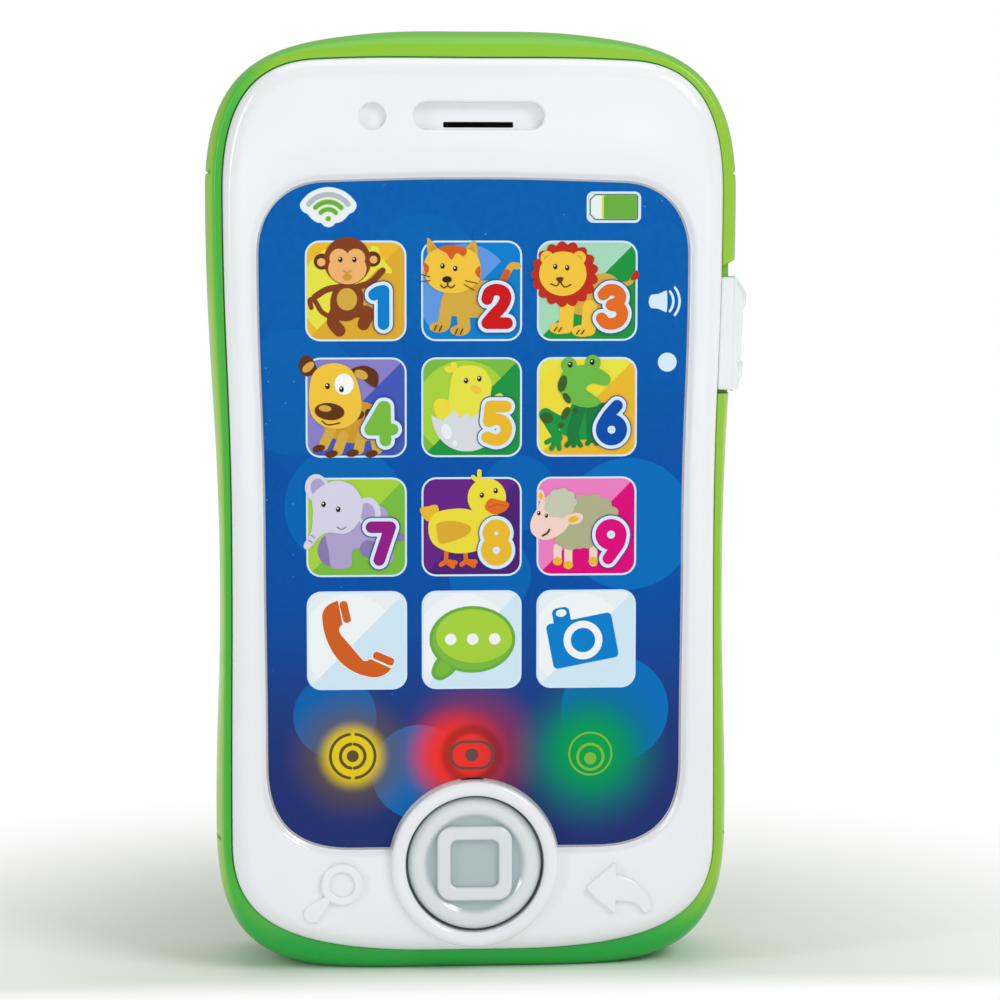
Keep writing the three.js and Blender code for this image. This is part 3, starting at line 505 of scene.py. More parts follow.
def screen_print():
    """Printed deep blue with paler discs, lit from behind at the three lights, and a little dust."""
    surface = Surface("screen_print", (1, 92, 168), 0.2, Specular_IOR_Level=0.06)
    _, _, up = surface.axes()
    top, middle, foot = linear((0, 94, 172)), linear((0, 79, 162)), linear((34, 48, 108))
    colour = surface.mix(surface.ramp(up, 0.118, 0.075), top, middle)
    colour = surface.mix(surface.ramp(up, 0.068, 0.03), colour, foot)
    colour = surface.mix(surface.ramp(surface.noise(0.9, 4), 0.35, 0.7, 0.0, 0.16), colour,
                         linear((0, 60, 140)))
    for x, z, radius, weight in SCREEN_DISCS:
        edge = surface.ramp(surface.reach(x, z), (radius + 0.06) * MM, (radius - 0.06) * MM, 0.0, weight)
        colour = surface.mix(edge, colour, linear((0, 112, 186)))
    # Light that leaks through the print: a wide faint halo and a tight bright core for each,
    # as x, z, outer radius, inner radius, weight and tone.
    yellow_x, red_x, green_x = LIGHTS_X
    glows = [
        (yellow_x, LIGHT_Z, 12.0, 3.0, 0.75, (98, 80, 40)),
        (yellow_x, LIGHT_Z, 6.2, 3.0, 0.95, (214, 190, 22)),
        (red_x, LIGHT_Z + 0.6, 13.0, 3.5, 0.75, (150, 40, 52)),
        (red_x - 2.4, LIGHT_Z, 9.0, 3.0, 0.95, (226, 46, 36)),
        (green_x, LIGHT_Z, 14.0, 4.5, 0.9, (0, 112, 104)),
        (green_x, LIGHT_Z + 0.4, 9.6, 1.0, 0.92, (0, 152, 58)),
    ]
    light = [0.0, 0.0, 0.0, 1.0]
    for x, z, outer, inner, weight, tone in glows:
        near = surface.ramp(surface.reach(x, z), outer * MM, inner * MM, 0.0, weight)
        colour = surface.mix(near, colour, linear(tone))
        light = surface.mix(near, light, linear([c * 0.62 for c in tone]))
    ring = surface.reach(red_x, LIGHT_Z)
    shade = surface.math("MULTIPLY", surface.ramp(ring, 0.0029, 0.0038),
                         surface.ramp(ring, 0.0056, 0.0042, 0.0, 0.55))
    colour = surface.mix(shade, colour, linear((70, 26, 22)))
    dust = surface.tree.nodes.new("ShaderNodeTexVoronoi")
    surface.put(surface.place, dust.inputs["Vector"])
    dust.inputs["Scale"].default_value = 620
    patch = surface.ramp(surface.noise(0.045), 0.56, 0.7, 0.0, 0.42)
    speck = surface.math("MULTIPLY", surface.ramp(dust.outputs["Distance"], 0.09, 0.03), patch)
    colour = surface.mix(speck, colour, linear((190, 210, 235)))
    surface.set("Base Color", colour)
    surface.set("Emission Color", light)
    surface.set("Emission Strength", 0.35)
    surface.bump(surface.noise(1.2, 3), 0.0012)
    return surface.material


def simple_materials():
    """The rest of the phone's materials, by slot."""
    glow = {"led_yellow": (236, 196, 40), "led_red": (214, 40, 30), "led_green": (40, 168, 84)}
    made = {
        "grey_button": grey_button(),
        "milky_knob": moulded("milky_knob", (228, 236, 235), 0.2, grain=0.001, Coat_Weight=0.5,
                              Coat_Roughness=0.06),
        "silicone": moulded("silicone", (206, 206, 196), 0.55, grain=0.01),
        "black_plastic": moulded("black_plastic", (34, 34, 36), 0.4, grain=0.012),
        "cone_paper": moulded("cone_paper", (40, 40, 41), 0.85, 0.08, 0.05),
        "wire_black": moulded("wire_black", (32, 32, 34), 0.42, grain=0.01),
        "wire_red": moulded("wire_red", (178, 36, 30), 0.4, grain=0.01),
    }
    for name, colour in glow.items():
        made[name] = moulded(name, colour, 0.12, 0.04, 0.001, Transmission_Weight=0.25)
    found = {name: surface.material for name, surface in made.items()}
    found["steel"] = metal("steel", (176, 180, 186), 0.3)
    found["nickel"] = metal("nickel", (204, 200, 190), 0.26)
    found["circuit_board"] = circuit_board()
    found["cell_sleeve"] = cell_sleeve()
    found["white_shell"] = white_shell()
    found["green_shell"] = green_shell()
    found["green_door"] = lime_plastic("green_door").material
    found["screen_print"] = screen_print()
    return found


MATERIALS = simple_materials()


# Housings --------------------------------------------------------------------------------------

BULGE_LOOP = outline(BULGE)
COVER_LOOP = outline(COVER)
FILM_LOOP = outline(FILM)


def cover_front_rings():
    """The pillow-shaped bezel, from the screen pocket's lip outwards to the cover's side."""
    lip_out, slope_in, slope_reach = 1.7, 0.8, 13.0
    crest_loop = inset(COVER_LOOP, EDGE_ROUND)
    lip_loop = inset(FILM_LOOP, -lip_out)

    def sink(loop):
        """How far the bezel falls towards the screen at each point of a loop."""
        near = np.clip(1 - (distance_to(FILM_LOOP, loop) - lip_out) / slope_reach, 0, 1)
        return slope_in * near ** 2

    lip_y = CREST_Y + sink(lip_loop)
    rings = [(FLOOR_FRONT_Y, inset(FILM_LOOP, -GAP)), (FILM_Y - 0.1, inset(FILM_LOOP, -0.36))]
    for outward, share in ((0.55, 0.78), (0.85, 0.42), (1.1, 0.18), (1.35, 0.06)):
        rings.append((lip_y * (1 - share) + FILM_Y * share, inset(FILM_LOOP, -outward)))
    steps = 18
    for i in range(steps + 1):
        loop = between(lip_loop, crest_loop, (i / steps) ** 1.2)
        rings.append((CREST_Y + sink(loop), loop))
    round_steps = 16
    for i in range(1, round_steps + 1):
        angle = (1 - i / round_steps) * math.pi / 2
        loop = inset(COVER_LOOP, EDGE_ROUND * (1 - math.cos(angle)))
        rings.append((SIDE_Y + (CREST_Y - SIDE_Y) * math.sin(angle) + sink(loop) * math.sin(angle), loop))
    return rings


def collar_solid():
    rise = [(HOME_BORE, FLOOR_BACK_Y), (HOME_BORE, COLLAR_Y + 1.0)]
    middle = (HOME_BORE + COLLAR) / 2
    inner, outer = middle - HOME_BORE, COLLAR - middle
    arc = [i / 14 * math.pi for i in range(15)]
    crown = [
        (middle - math.cos(a) * (inner if a < math.pi / 2 else outer),
         COLLAR_Y + 1.0 * (1 - math.sin(a) ** 0.8))
        for a in arc
    ]
    profile = rise + crown[1:] + [(COLLAR, FLOOR_BACK_Y)]
    count = 128
    rings = [(y, circle(radius, HOME_X, HOME_Z, count)) for radius, y in profile]
    points, faces = loft(rings)
    faces = faces[:-2]
    last = len(points) - count
    faces += [[last + i, last + (i + 1) % count, (i + 1) % count, i] for i in range(count)]
    return points, faces


def teardrop(start, end, start_radius, end_radius, steps=14):
    """An outline round two circles of different size."""
    (x0, z0), (x1, z1) = start, end
    lean = math.atan2(z1 - z0, x1 - x0)
    arc = np.linspace(-math.pi / 2, math.pi / 2, steps)
    far = np.column_stack([x1 + end_radius * np.cos(lean + arc), z1 + end_radius * np.sin(lean + arc)])
    back = arc + math.pi
    near = np.column_stack([x0 + start_radius * np.cos(lean + back), z0 + start_radius * np.sin(lean + back)])
    return np.vstack([far, near])


def magnifier_solids():
    x, z = MAGNIFIER
    front = CREST_Y - 0.35
    ring = soft_plate(circle(3.35, x, z, 64), CREST_Y + 1, front, 0.35)
    lean = math.radians(225)
    root = (x + 3.0 * math.cos(lean), z + 3.0 * math.sin(lean))
    end = (x + 6.6 * math.cos(lean), z + 6.6 * math.sin(lean))
    handle = soft_plate(teardrop(root, end, 0.55, 1.5), CREST_Y + 1, front + 0.06, 0.3)
    return ring, handle


def rounded_corners(corners, radius, steps=6):
    """A closed loop of straight sides joined by arcs that start radius away from each corner."""
    corners = np.array(corners, float)
    loop = []
    for before, corner, after in zip(np.roll(corners, 1, axis=0), corners, np.roll(corners, -1, axis=0)):
        start = corner + (before - corner) / np.linalg.norm(before - corner) * radius
        end = corner + (after - corner) / np.linalg.norm(after - corner) * radius
        loop += [start * (1 - t) ** 2 + corner * 2 * t * (1 - t) + end * t ** 2
                 for t in np.linspace(0, 1, steps)]
    return np.array(loop)


def arrow_solids():
    """The raised sign on the right: an arrow head pointing left and its tail curving down."""
    tip = np.array(ARROW_TIP)
    head = rounded_corners([(-0.35, 0.05), (4.75, -4.45), (4.75, 4.45)], 0.95)
    upper = bezier((3.6, 2.3), (7.6, 2.2), (10.2, -0.4), (10.3, -3.1), 14)
    end = bezier((10.3, -3.3), (10.3, -4.4), (9.1, -4.4), (8.7, -3.4), 8)
    lower = bezier((8.6, -3.2), (8.0, -2.2), (6.8, -2.0), (3.6, -2.1), 12)
    tail = np.vstack([upper, end, lower])[::-1]
    front, soft, middle, reach = CREST_Y - 0.4, 0.35, np.array([2.73, 0.0]), 2.02
    rings = [(CREST_Y + 1, head + tip)]
    for i in range(7):
        angle = i / 6 * math.pi / 2
        shrink = 1 - soft * (1 - math.cos(angle)) / reach
        rings.append((front + soft * (1 - math.sin(angle)), (head - middle) * shrink + middle + tip))
    return loft(rings), soft_plate(tail + tip, CREST_Y + 1, front + 0.03, soft, 5)


def lipped_pocket(loop, front, depth, flare=0.5):
    """A cutter for a recess with a straight wall and a rounded mouth."""
    rings = [(front + depth, loop), (front + flare, loop)]
    for i in range(1, 7):
        angle = i / 6 * math.pi / 2
        rings.append((front + flare * (1 - math.sin(angle)), inset(loop, -flare * (1 - math.cos(angle)))))
    rings.append((front - 1.5, inset(loop, -flare - 0.3)))
    return loft(rings)


def front_cover():
    inside = inset(COVER_LOOP, WALL)
    rings = cover_front_rings()
    rings += [(-8.6, COVER_LOOP), (-7.2, COVER_LOOP), (COVER_BACK_Y - 0.15, COVER_LOOP)]
    rings += [(COVER_BACK_Y, inset(COVER_LOOP, 0.15)), (COVER_BACK_Y, inside), (FLOOR_BACK_Y, inside)]
    piece = make("front_cover_smooth", loft(rings))
    carve(piece, collar_solid(), "UNION")
    ring, handle = magnifier_solids()
    carve(piece, ring, "UNION")
    carve(piece, handle, "UNION")
    for solid in arrow_solids():
        carve(piece, solid, "UNION")
    ear = rounded_rect(EARPIECE["half_x"], EARPIECE["half_z"], EARPIECE["half_z"] - 0.01, EARPIECE["x"],
                       EARPIECE["z"], 16)
    dot = circle(LENS_DOT["radius"], LENS_DOT["x"], LENS_DOT["z"])
    lens = circle(2.05, *MAGNIFIER)
    slit = rounded_rect(SLIT["half_x"], SLIT["half_z"], 0.2, EARPIECE["x"], SLIT["z"], 4)
    cuts = [
        bar(HOME_BORE, COLLAR_Y - 1, FLOOR_BACK_Y + 1, HOME_X, HOME_Z, 128),
        lipped_pocket(ear, CREST_Y, EARPIECE["depth"]),
        lipped_pocket(dot, CREST_Y, LENS_DOT["depth"], 0.4),
        lipped_pocket(lens, CREST_Y - 0.35, 0.4, 0.18),
        *[bar(4.4, FLOOR_FRONT_Y - 0.05, FLOOR_BACK_Y + 1, x, LIGHT_Z) for x in LIGHTS_X],
    ]
    carve(piece, joined(*cuts))
    carve(piece, loft([(CREST_Y, slit), (FLOOR_BACK_Y + 1, slit)]))
    settle(piece, "phone_body", MATERIALS["white_shell"], "white_shell", "front_cover", angle=36)


def rear_outer_rings():
    rim = inset(COVER_LOOP, -0.9)
    swell = BULGE_FRONT_Y - RIM_Y
    rings = []
    for i in range(8, 0, -1):
        angle = i / 8 * math.pi / 2
        rings.append((BACK_Y - 7.5 + 7.5 * math.sin(angle),
                      inset(BULGE_LOOP, BACK_EDGE_INSET * (1 - math.cos(angle)))))
    rings += [(BULGE_BACK_Y - 2.3 * i, BULGE_LOOP) for i in range(3)]
    for i in range(1, 15):
        angle = (1 - i / 14) * math.pi / 2
        rings.append((BULGE_FRONT_Y - swell * math.cos(angle), between(rim, BULGE_LOOP, math.sin(angle))))
    return [(y, above(loop, 0)) for y, loop in rings]


def rear_inner_rings():
    mouth = inset(COVER_LOOP, -0.1)
    inner = inset(BULGE_LOOP, WALL)
    ledge = COVER_BACK_Y + GAP
    return [
        (RIM_Y, inset(COVER_LOOP, -0.25)),
        (RIM_Y + 0.25, mouth),
        (ledge, mouth),
        (ledge + 0.6, above(between(mouth, inner, 0.5), 2)),
        (ledge + 2.4, above(inner, 2)),
        (BULGE_BACK_Y, above(inner, 2)),
        (BACK_INSIDE_Y - 2, above(inset(BULGE_LOOP, WALL + 1.2), 2)),
        (BACK_INSIDE_Y, above(inset(BULGE_LOOP, WALL + 3), 2.5)),
    ]


def side_x(loop, z):
    """How far an outline reaches to the side at a height."""
    half = loop[: len(loop) // 2 + 1]
    rising = half[np.argsort(half[:, 1])]
    return float(np.interp(z, rising[:, 1], rising[:, 0]))


def grip_groove(z, side):
    """A V-shaped groove across one side, as a cutter that follows the shell's section."""
    points, faces = [], []
    rings = [(y, loop) for y, loop in rear_outer_rings() if -8.5 < y < 10.5]
    for y, loop in rings:
        skin = side_x(loop, z)
        for x, rise in ((skin - 0.4, 0.04), (skin + 0.6, 0.75), (skin + 0.6, -0.75), (skin - 0.4, -0.04)):
            points.append((side * x, y, z + 0.3 + rise))
    for k in range(len(rings) - 1):
        base = 4 * k
        faces += [[base + i, base + (i + 1) % 4, base + 4 + (i + 1) % 4, base + 4 + i] for i in range(4)]
    faces += [[0, 1, 2, 3], [len(points) - 4 + i for i in range(4)]]
    return np.array(points), faces


def door_outline(grow=0, steps=12):
    """The battery door's outline from behind, larger by grow all round."""
    low, high = DOOR["bottom"], DOOR["top"]
    return rounded_rect(DOOR["half"] + grow, (high - low) / 2 + grow, DOOR["corner"],
                        0, (low + high) / 2, steps)


def rear_cover():
    piece = make("rear_cover_smooth", loft(rear_outer_rings() + rear_inner_rings()))
    half, bottom, top, floor, wall = (BAY[k] for k in ("half", "bottom", "top", "floor", "wall"))
    x0, x1 = -half - wall, half + wall
    inside = BACK_INSIDE_Y + 0.2
    door = door_outline(GAP)
    carve(piece, block((x0, x1), (floor - wall, inside), (bottom - wall, top + wall)), "UNION")
    carve(piece, joined(*[bar(3.9, -0.7, inside, x, z) for x, z in HOUSING_SCREWS],
                        bar(3.6, 1, inside, 0, DOOR_SCREW_Z)), "UNION")
    carve(piece, loft([(BACK_INSIDE_Y - 0.1, door), (BACK_Y + 1, door)]))
    carve(piece, block((-22, -half), (BACK_INSIDE_Y - 1.5, BACK_INSIDE_Y - 0.11), (28, top + wall)), "UNION")
    carve(piece, block((half, 22), (BACK_INSIDE_Y - 1.5, BACK_INSIDE_Y - 0.11), (28, top + wall)), "UNION")
    bay = rounded_rect(half, (top - bottom) / 2, 0.8, 0, (top + bottom) / 2, 4)
    carve(piece, loft([(floor, bay), (BACK_Y + 1, bay)]))
    ribs = [block((x - 0.5, x + 0.5), (floor - 0.5, floor + 1.8), (bottom + 8, top - 8)) for x in (-5.6, 5.6)]
    carve(piece, joined(*ribs), "UNION")
    wells = [bar(2.55, 3, BACK_Y + 1, x, z) for x, z in HOUSING_SCREWS]
    holes = [bar(1.4, -3, 3.5, x, z) for x, z in HOUSING_SCREWS]
    carve(piece, joined(*wells, bar(1.6, 2.5, inside + 1, 0, DOOR_SCREW_Z)))
    carve(piece, joined(*holes))
    recess = np.vstack([
        [(40.9, 92.6), (47, 92.6), (47, 118.2)],
        bezier((42.8, 114.5), (42.3, 114.0), (41.6, 113.9), (41.2, 113.5), 5),
        [(40.9, 113.2)],
    ])
    opening = np.vstack([
        [(38.5, 92.6), (47, 92.6), (47, 118.2)],
        bezier((42.8, 114.5), (41.3, 113.2), (39.5, 113.6), (39.4, 112.4), 8),
        [(39.4, 111.9), (38.5, 111.9)],
    ])
    slot = block((35, 43), (SWITCH_Y - 1.7, SWITCH_Y + 1.7), (96.7, 109.1))
    carve(piece, loft([(-6.4, recess), (6.15, recess)]))
    carve(piece, loft([(RIM_Y - 1, opening), (-6.35, opening)]))
    carve(piece, slot)
    carve(piece, joined(*[grip_groove(z, side) for z in GROOVES_Z for side in (-1, 1)]))
    settle(piece, "phone_body", MATERIALS["green_shell"], "green_shell", "rear_cover")


def battery_door():
    face = door_outline(steps=10)
    inside = BACK_Y - 1.8
    rings = [(inside, inset(face, 0.2)), (inside + 0.2, face), (BACK_Y - 0.35, face)]
    for i in range(1, 6):
        angle = i / 5 * math.pi / 2
        rings.append((BACK_Y - 0.35 * (1 - math.sin(angle)), inset(face, 0.35 * (1 - math.cos(angle)))))
    piece = make("battery_door_smooth", loft(rings))
    tab_back = BACK_INSIDE_Y - 0.2
    for x in (-12, 12):
        carve(piece, block((x - 3, x + 3), (tab_back - 1, inside + 0.5), (95.4, 96.6)), "UNION")
        carve(piece, block((x - 2.99, x + 2.99), (tab_back - 1, tab_back), (95.5, 99.5)), "UNION")
    carve(piece, bar(2.55, inside + 0.9, BACK_Y + 1, 0, DOOR_SCREW_Z))
    carve(piece, bar(1.4, inside - 1, BACK_Y, 0, DOOR_SCREW_Z))
    grips = [rounded_rect(5, 0.5, 0.49, 0, DOOR_SCREW_Z + 6.5 + 2 * i, 5) for i in range(3)]
    for grip in grips:
        carve(piece, loft([(BACK_Y - 0.5, inset(grip, 0.25)), (BACK_Y, grip),
                           (BACK_Y + 1, inset(grip, -0.3))]))
    settle(piece, "battery_door", MATERIALS["green_door"], "green_shell", "battery_door")


def screen_film():
    rings = [(FILM_BACK_Y, FILM_LOOP), (FILM_Y + 0.06, FILM_LOOP), (FILM_Y, inset(FILM_LOOP, 0.06))]
    piece = make("screen_film_sheet", loft(rings))
    carve(piece, bar(COLLAR + GAP, FILM_Y - 1, -9.5, HOME_X, HOME_Z, 128))
    settle(piece, "phone_body", MATERIALS["screen_print"], "screen_print", "screen_film")


# Controls --------------------------------------------------------------------------------------

def button_profile():
    """Radius and Y from the middle of the dish, over the lip and the sloping ring, to the flange."""
    dish = [(0, -11.4), (6.6, -11.4), (7.1, -11.42), (7.45, -11.52), (7.75, -11.72), (8.05, -11.98)]
    lip = [(8.3, -12.16), (8.6, -12.26), (8.95, -12.28), (9.4, -12.24), (9.9, -12.12), (10.25, -11.96)]
    side = [(10.5, -11.76), (10.64, -11.5), (10.7, -11.2), (10.7, -8.6)]
    flange = [(12.0, -8.6), (12.0, FLANGE_BACK_Y), (0, FLANGE_BACK_Y)]
    return dish + lip + side + flange


def home_button():
    piece = make("home_button_smooth", turned(button_profile(), HOME_X, HOME_Z, 128))

    def square(half, corner):
        return rounded_rect(half, half, corner, HOME_X, HOME_Z, 10)

    rings = [(-10.8, square(6.1, 2.5)), (-11.45, square(6.1, 2.5)), (-11.8, square(6.0, 2.4))]
    for i in range(1, 8):
        angle = i / 7 * math.pi / 2
        back = 0.55 * (1 - math.cos(angle))
        rings.append((-11.8 - 0.55 * math.sin(angle), square(6.0 - back, 2.4 - back)))
    for i in range(0, 8):
        angle = (1 - i / 7) * math.pi / 2
        back = 0.45 * (1 - math.cos(angle))
        rings.append((-11.9 - 0.45 * math.sin(angle), square(3.85 + back, 1.2 + back)))
    rings.append((-11.5, square(3.8, 1.15)))
    carve(piece, loft(rings), "UNION")
    pins = [bar(1.2, -8.1, -3, side * 8.5, HOME_Z) for side in (-1, 1)]
    carve(piece, joined(*pins), "UNION")
    settle(piece, "home_button", MATERIALS["grey_button"], "grey_button", "home_button", angle=34)


def knob_outline(inset_by):
    """The slide's outline from the front, with its raised part drawn in towards the phone by inset_by."""
    inner, outer, low, high = KNOB_INNER, KNOB_HIGH.x - inset_by, KNOB_LOW.z, KNOB_HIGH.z
    notch = max(outer - 0.45, inner + 0.9)
    shoulder = min(inner + 2.1, notch - 0.2)
    return np.vstack([
        bezier((inner, low), (inner + 0.8, low + 0.1), (inner + 1.4, low + 0.4), (shoulder, low + 1.8), 7),
        bezier((shoulder + 0.1, low + 2.1), (shoulder + 0.2, low + 2.5), (notch, low + 2.5),
               (notch, low + 3.2), 6),
        bezier((notch, low + 4.2), (notch - 0.1, low + 4.4), (notch - 0.3, low + 4.5),
               (notch - 0.3, low + 4.8), 5),
        bezier((notch, high - 5.8), (notch, high - 5.1), (outer, high - 5.2), (outer, high - 4.5), 6),
        bezier((outer, high - 3.3), (outer, high - 2.4), (outer - 0.5, high - 1.9),
               (shoulder, high - 1.4), 8),
        bezier((shoulder - 0.2, high - 1.2), (inner + 1.4, high - 0.4), (inner + 0.8, high - 0.1),
               (inner, high), 7),
    ])


def switch_knob():
    """The slide: a fluted cap with a lobe over the cut rim, on a neck with a keeper plate inside."""
    front, back = KNOB_LOW.y, KNOB_HIGH.y - 0.75
    flutes = [(0, 2.1), (0.1, 1.8), (0.35, 1.6), (1.6, 1.5), (1.8, 1.42), (2.0, 1.16), (2.3, 1.06),
              (3.6, 0.98), (3.8, 0.9), (4.0, 0.58), (4.4, 0.44), (6.0, 0.34), (6.3, 0.12), (6.8, 0)]
    rings = [(front + depth, knob_outline(reduction)) for depth, reduction in flutes]
    rings += [(y, knob_outline(0)) for y in (0, back - 1.0)]
    for angle in (0.4, 0.8, 1.2, math.pi / 2):
        rings.append((back - 1.0 + math.sin(angle), knob_outline(0.7 * (1 - math.cos(angle)))))
    piece = make("switch_knob_smooth", loft(rings))
    low, high = KNOB_LOW.z, KNOB_HIGH.z
    inner = KNOB_INNER + 0.5
    lobe = rounded_corners([(38.95, low + 0.15), (inner, low + 0.1), (inner, high - 0.1),
                            (39.5, high - 0.15)], 0.5)
    carve(piece, loft([(-6.75, lobe), (front + 0.35, lobe), (front + 0.12, inset(lobe, 0.1)),
                       (front + 0.03, inset(lobe, 0.3))]), "UNION")
    carve(piece, block((36.9, inner), (SWITCH_Y - 1.4, SWITCH_Y + 1.4), (97, 107)), "UNION")
    carve(piece, block((36.9, 38.9), (SWITCH_Y - 3.2, SWITCH_Y + 3.2), (95.5, 108.5)), "UNION")
    carve(piece, block((35.9, 38.5), (SWITCH_Y - 4, SWITCH_Y - 1.5), (96.5, 99.1)))
    settle(piece, "switch_slide", MATERIALS["milky_knob"], "milky_knob", "switch_knob", angle=40)


# Printed screen art ------------------------------------------------------------------------------
# A shape is a closed loop of (x, z) points in millimetres about the middle of its own print, or a
# Hoop: the ring between two such loops.

INKS = dict(
    edge=(206, 226, 244), pale=(224, 232, 236), ice=(200, 224, 236), frost=(232, 237, 240),
    grey=(176, 181, 183), navy=(58, 66, 128), black=(40, 26, 16), white=(240, 242, 240),
    brown=(126, 60, 26), deep_brown=(92, 48, 16), peach=(230, 172, 104), tan=(204, 164, 62),
    ochre=(212, 164, 46), gold=(226, 178, 42), sand=(198, 148, 44), yellow=(228, 212, 58),
    lemon=(222, 218, 66), amber=(232, 190, 60), orange=(218, 104, 30), rust=(201, 92, 30),
    mane=(182, 42, 24), red=(196, 18, 20), mint=(158, 208, 178), leaf=(24, 142, 62), forest=(18, 118, 56),
    grass=(116, 180, 62), lime=(160, 202, 58), moss=(54, 92, 40), frog=(104, 178, 68), blue=(0, 122, 196),
    sky=(92, 146, 216), royal=(0, 72, 164), violet=(132, 122, 192), indigo=(62, 84, 176),
    lilac=(166, 156, 198), lavender=(206, 204, 222), plum=(132, 118, 172), purple=(98, 32, 128),
    wine=(74, 30, 112), violet_red=(140, 24, 128), magenta=(212, 0, 116), pink=(226, 122, 186),
    rose=(234, 204, 192), wool=(168, 170, 130), fleece=(190, 194, 170), shell=(206, 212, 216),
    gloss=(224, 232, 238), olive=(84, 110, 44), fill=(100, 168, 62), chartreuse=(206, 216, 60),
    olive_brown=(92, 78, 44), soot=(96, 74, 68), lit_green=(120, 180, 66),
)


def ink(name):
    """Printed ink under a thin clear coat; its colour is flat and only its gloss varies."""
    label = "ink_" + name
    if label in bpy.data.materials:
        return bpy.data.materials[label]
    surface = Surface(label, INKS[name], 0.22, Specular_IOR_Level=0.08)
    surface.vary_roughness(0.17, 0.27, 0.2)
    return surface.material


def turned_loop(loop, lean, x=0.0, z=0.0):
    """A loop turned by lean degrees about its own origin and moved to (x, z)."""
    angle = math.radians(lean)
    turn = np.array([[math.cos(angle), math.sin(angle)], [-math.sin(angle), math.cos(angle)]])
    return loop @ turn + [x, z]


def oval(x, z, rx, rz=None, lean=0, sides=36):
    return turned_loop(circle(1, sides=sides) * [rx, rz or rx], lean, x, z)


def card(half_x, half_z, corner, x=0.0, z=0.0, lean=0):
    return turned_loop(rounded_rect(half_x, half_z, corner, steps=6), lean, x, z)


def through(points, closed=False, steps=7):
    """A smooth path through points."""
    p = [np.array(q, float) for q in points]
    ends = [p[-1]] + p + [p[0], p[1]] if closed else [2 * p[0] - p[1]] + p + [2 * p[-1] - p[-2]]
    path = []
    for a, b, c, d in zip(ends, ends[1:], ends[2:], ends[3:]):
        for t in np.linspace(0, 1, steps, endpoint=False):
            path.append(0.5 * (2 * b + (c - a) * t + (2 * a - 5 * b + 4 * c - d) * t ** 2
                               + (3 * b - a - 3 * c + d) * t ** 3))
    return np.array(path if closed else path + [p[-1]])


def blob(*points, steps=7):
    return through(points, closed=True, steps=steps)


def stroke(width, *points, steps=7):
    """The outline of a round-ended pen line through points."""
    path = through(points, steps=steps) if len(points) > 2 else np.array(points, float)
    along = np.gradient(path, axis=0)
    along /= np.linalg.norm(along, axis=1)[:, None]
    side = np.column_stack([-along[:, 1], along[:, 0]]) * width / 2
    arc = np.linspace(0, math.pi, 9)[1:-1]

    def unfolded(edge):
        """The edge without the points that a tight bend pushes back over the line."""
        nearest = np.linalg.norm(edge[:, None] - path[None], axis=2).min(1)
        return edge[nearest > width / 2 * 0.96]

    def cap(centre, forward, flank):
        return [centre + flank * math.cos(a) + forward * width / 2 * math.sin(a) for a in arc]

    tail = cap(path[-1], along[-1], side[-1])
    head = cap(path[0], -along[0], -side[0])
    return np.vstack([unfolded(path + side), tail, unfolded(path - side)[::-1], head])


def scallops(x, z, rx, rz, count, depth, lean=0):
    """A wavy-edged oval."""
    angle = np.linspace(0, 2 * math.pi, count * 8, endpoint=False)
    wave = 1 + depth * np.abs(np.sin(angle * count / 2))
    return turned_loop(np.column_stack([rx * wave * np.cos(angle), rz * wave * np.sin(angle)]), lean, x, z)


def clipped(loop, frame_loop):
    """What of a loop lies inside a convex loop that runs anticlockwise."""
    kept = [np.array(p) for p in loop]
    for a, b in zip(frame_loop, np.roll(frame_loop, -1, axis=0)):
        normal = np.array([-(b - a)[1], (b - a)[0]])
        result = []
        for p, q in zip(kept, kept[1:] + kept[:1]):
            p_in, q_in = (p - a) @ normal, (q - a) @ normal
            if p_in >= 0:
                result.append(p)
            if (p_in >= 0) != (q_in >= 0):
                result.append(p + (q - p) * p_in / (p_in - q_in))
        kept = result
        if not kept:
            break
    return np.array(kept)


class Hoop:
    """A ring with an outer and an inner loop of as many points."""

    def __init__(self, x, z, rx, width, rz=None, sides=48):
        rz = rz or rx
        self.outer = oval(x, z, rx + width / 2, rz + width / 2, sides=sides)
        self.inner = oval(x, z, rx - width / 2, rz - width / 2, sides=sides)


def hoop_solid(hoop, x, z, back, front):
    rings = [(back, hoop.outer), (front, hoop.outer), (front, hoop.inner), (back, hoop.inner)]
    points, faces = loft([(y, loop + [x, z]) for y, loop in rings])
    count = len(hoop.outer)
    closing = [[3 * count + i, 3 * count + (i + 1) % count, (i + 1) % count, i] for i in range(count)]
    return points, faces[:-2] + closing


class Print:
    """One printed picture on the screen, built up in thin layers of ink."""

    LAYER, STEP, THICKNESS = 0.012, 0.002, 0.0213

    def __init__(self, name, x, z):
        self.name, self.x, self.z = name, x, z
        self.front = FILM_Y - 0.012
        self.solids, self.inks = [], []

    def lay(self, name, *shapes):
        """Prints shapes in one ink as the next layer up, each a hair above the one before."""
        self.front -= self.LAYER
        for shape in shapes:
            self.front -= self.STEP
            front, back = self.front, self.front + self.THICKNESS
            if isinstance(shape, Hoop):
                self.solids.append(hoop_solid(shape, self.x, self.z, back, front))
            elif len(shape) > 2:
                loop = shape + [self.x, self.z]
                self.solids.append(loft([(back, loop), (front, loop)]))
            else:
                continue
            self.inks.append(name)

    def eyes(self, *places, size=0.34):
        self.lay("black", *[oval(x, z, size, size * 1.25) for x, z in places])
        self.lay("white", *[oval(x - size * 0.25, z + size * 0.4, size * 0.36) for x, z in places])

    def finish(self):
        names = sorted(set(self.inks))
        slots = [names.index(name) for name, (_, faces) in zip(self.inks, self.solids) for _ in faces]
        piece = make(self.name, joined(*self.solids), [ink(name) for name in names], slots)
        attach(piece, "phone_body")


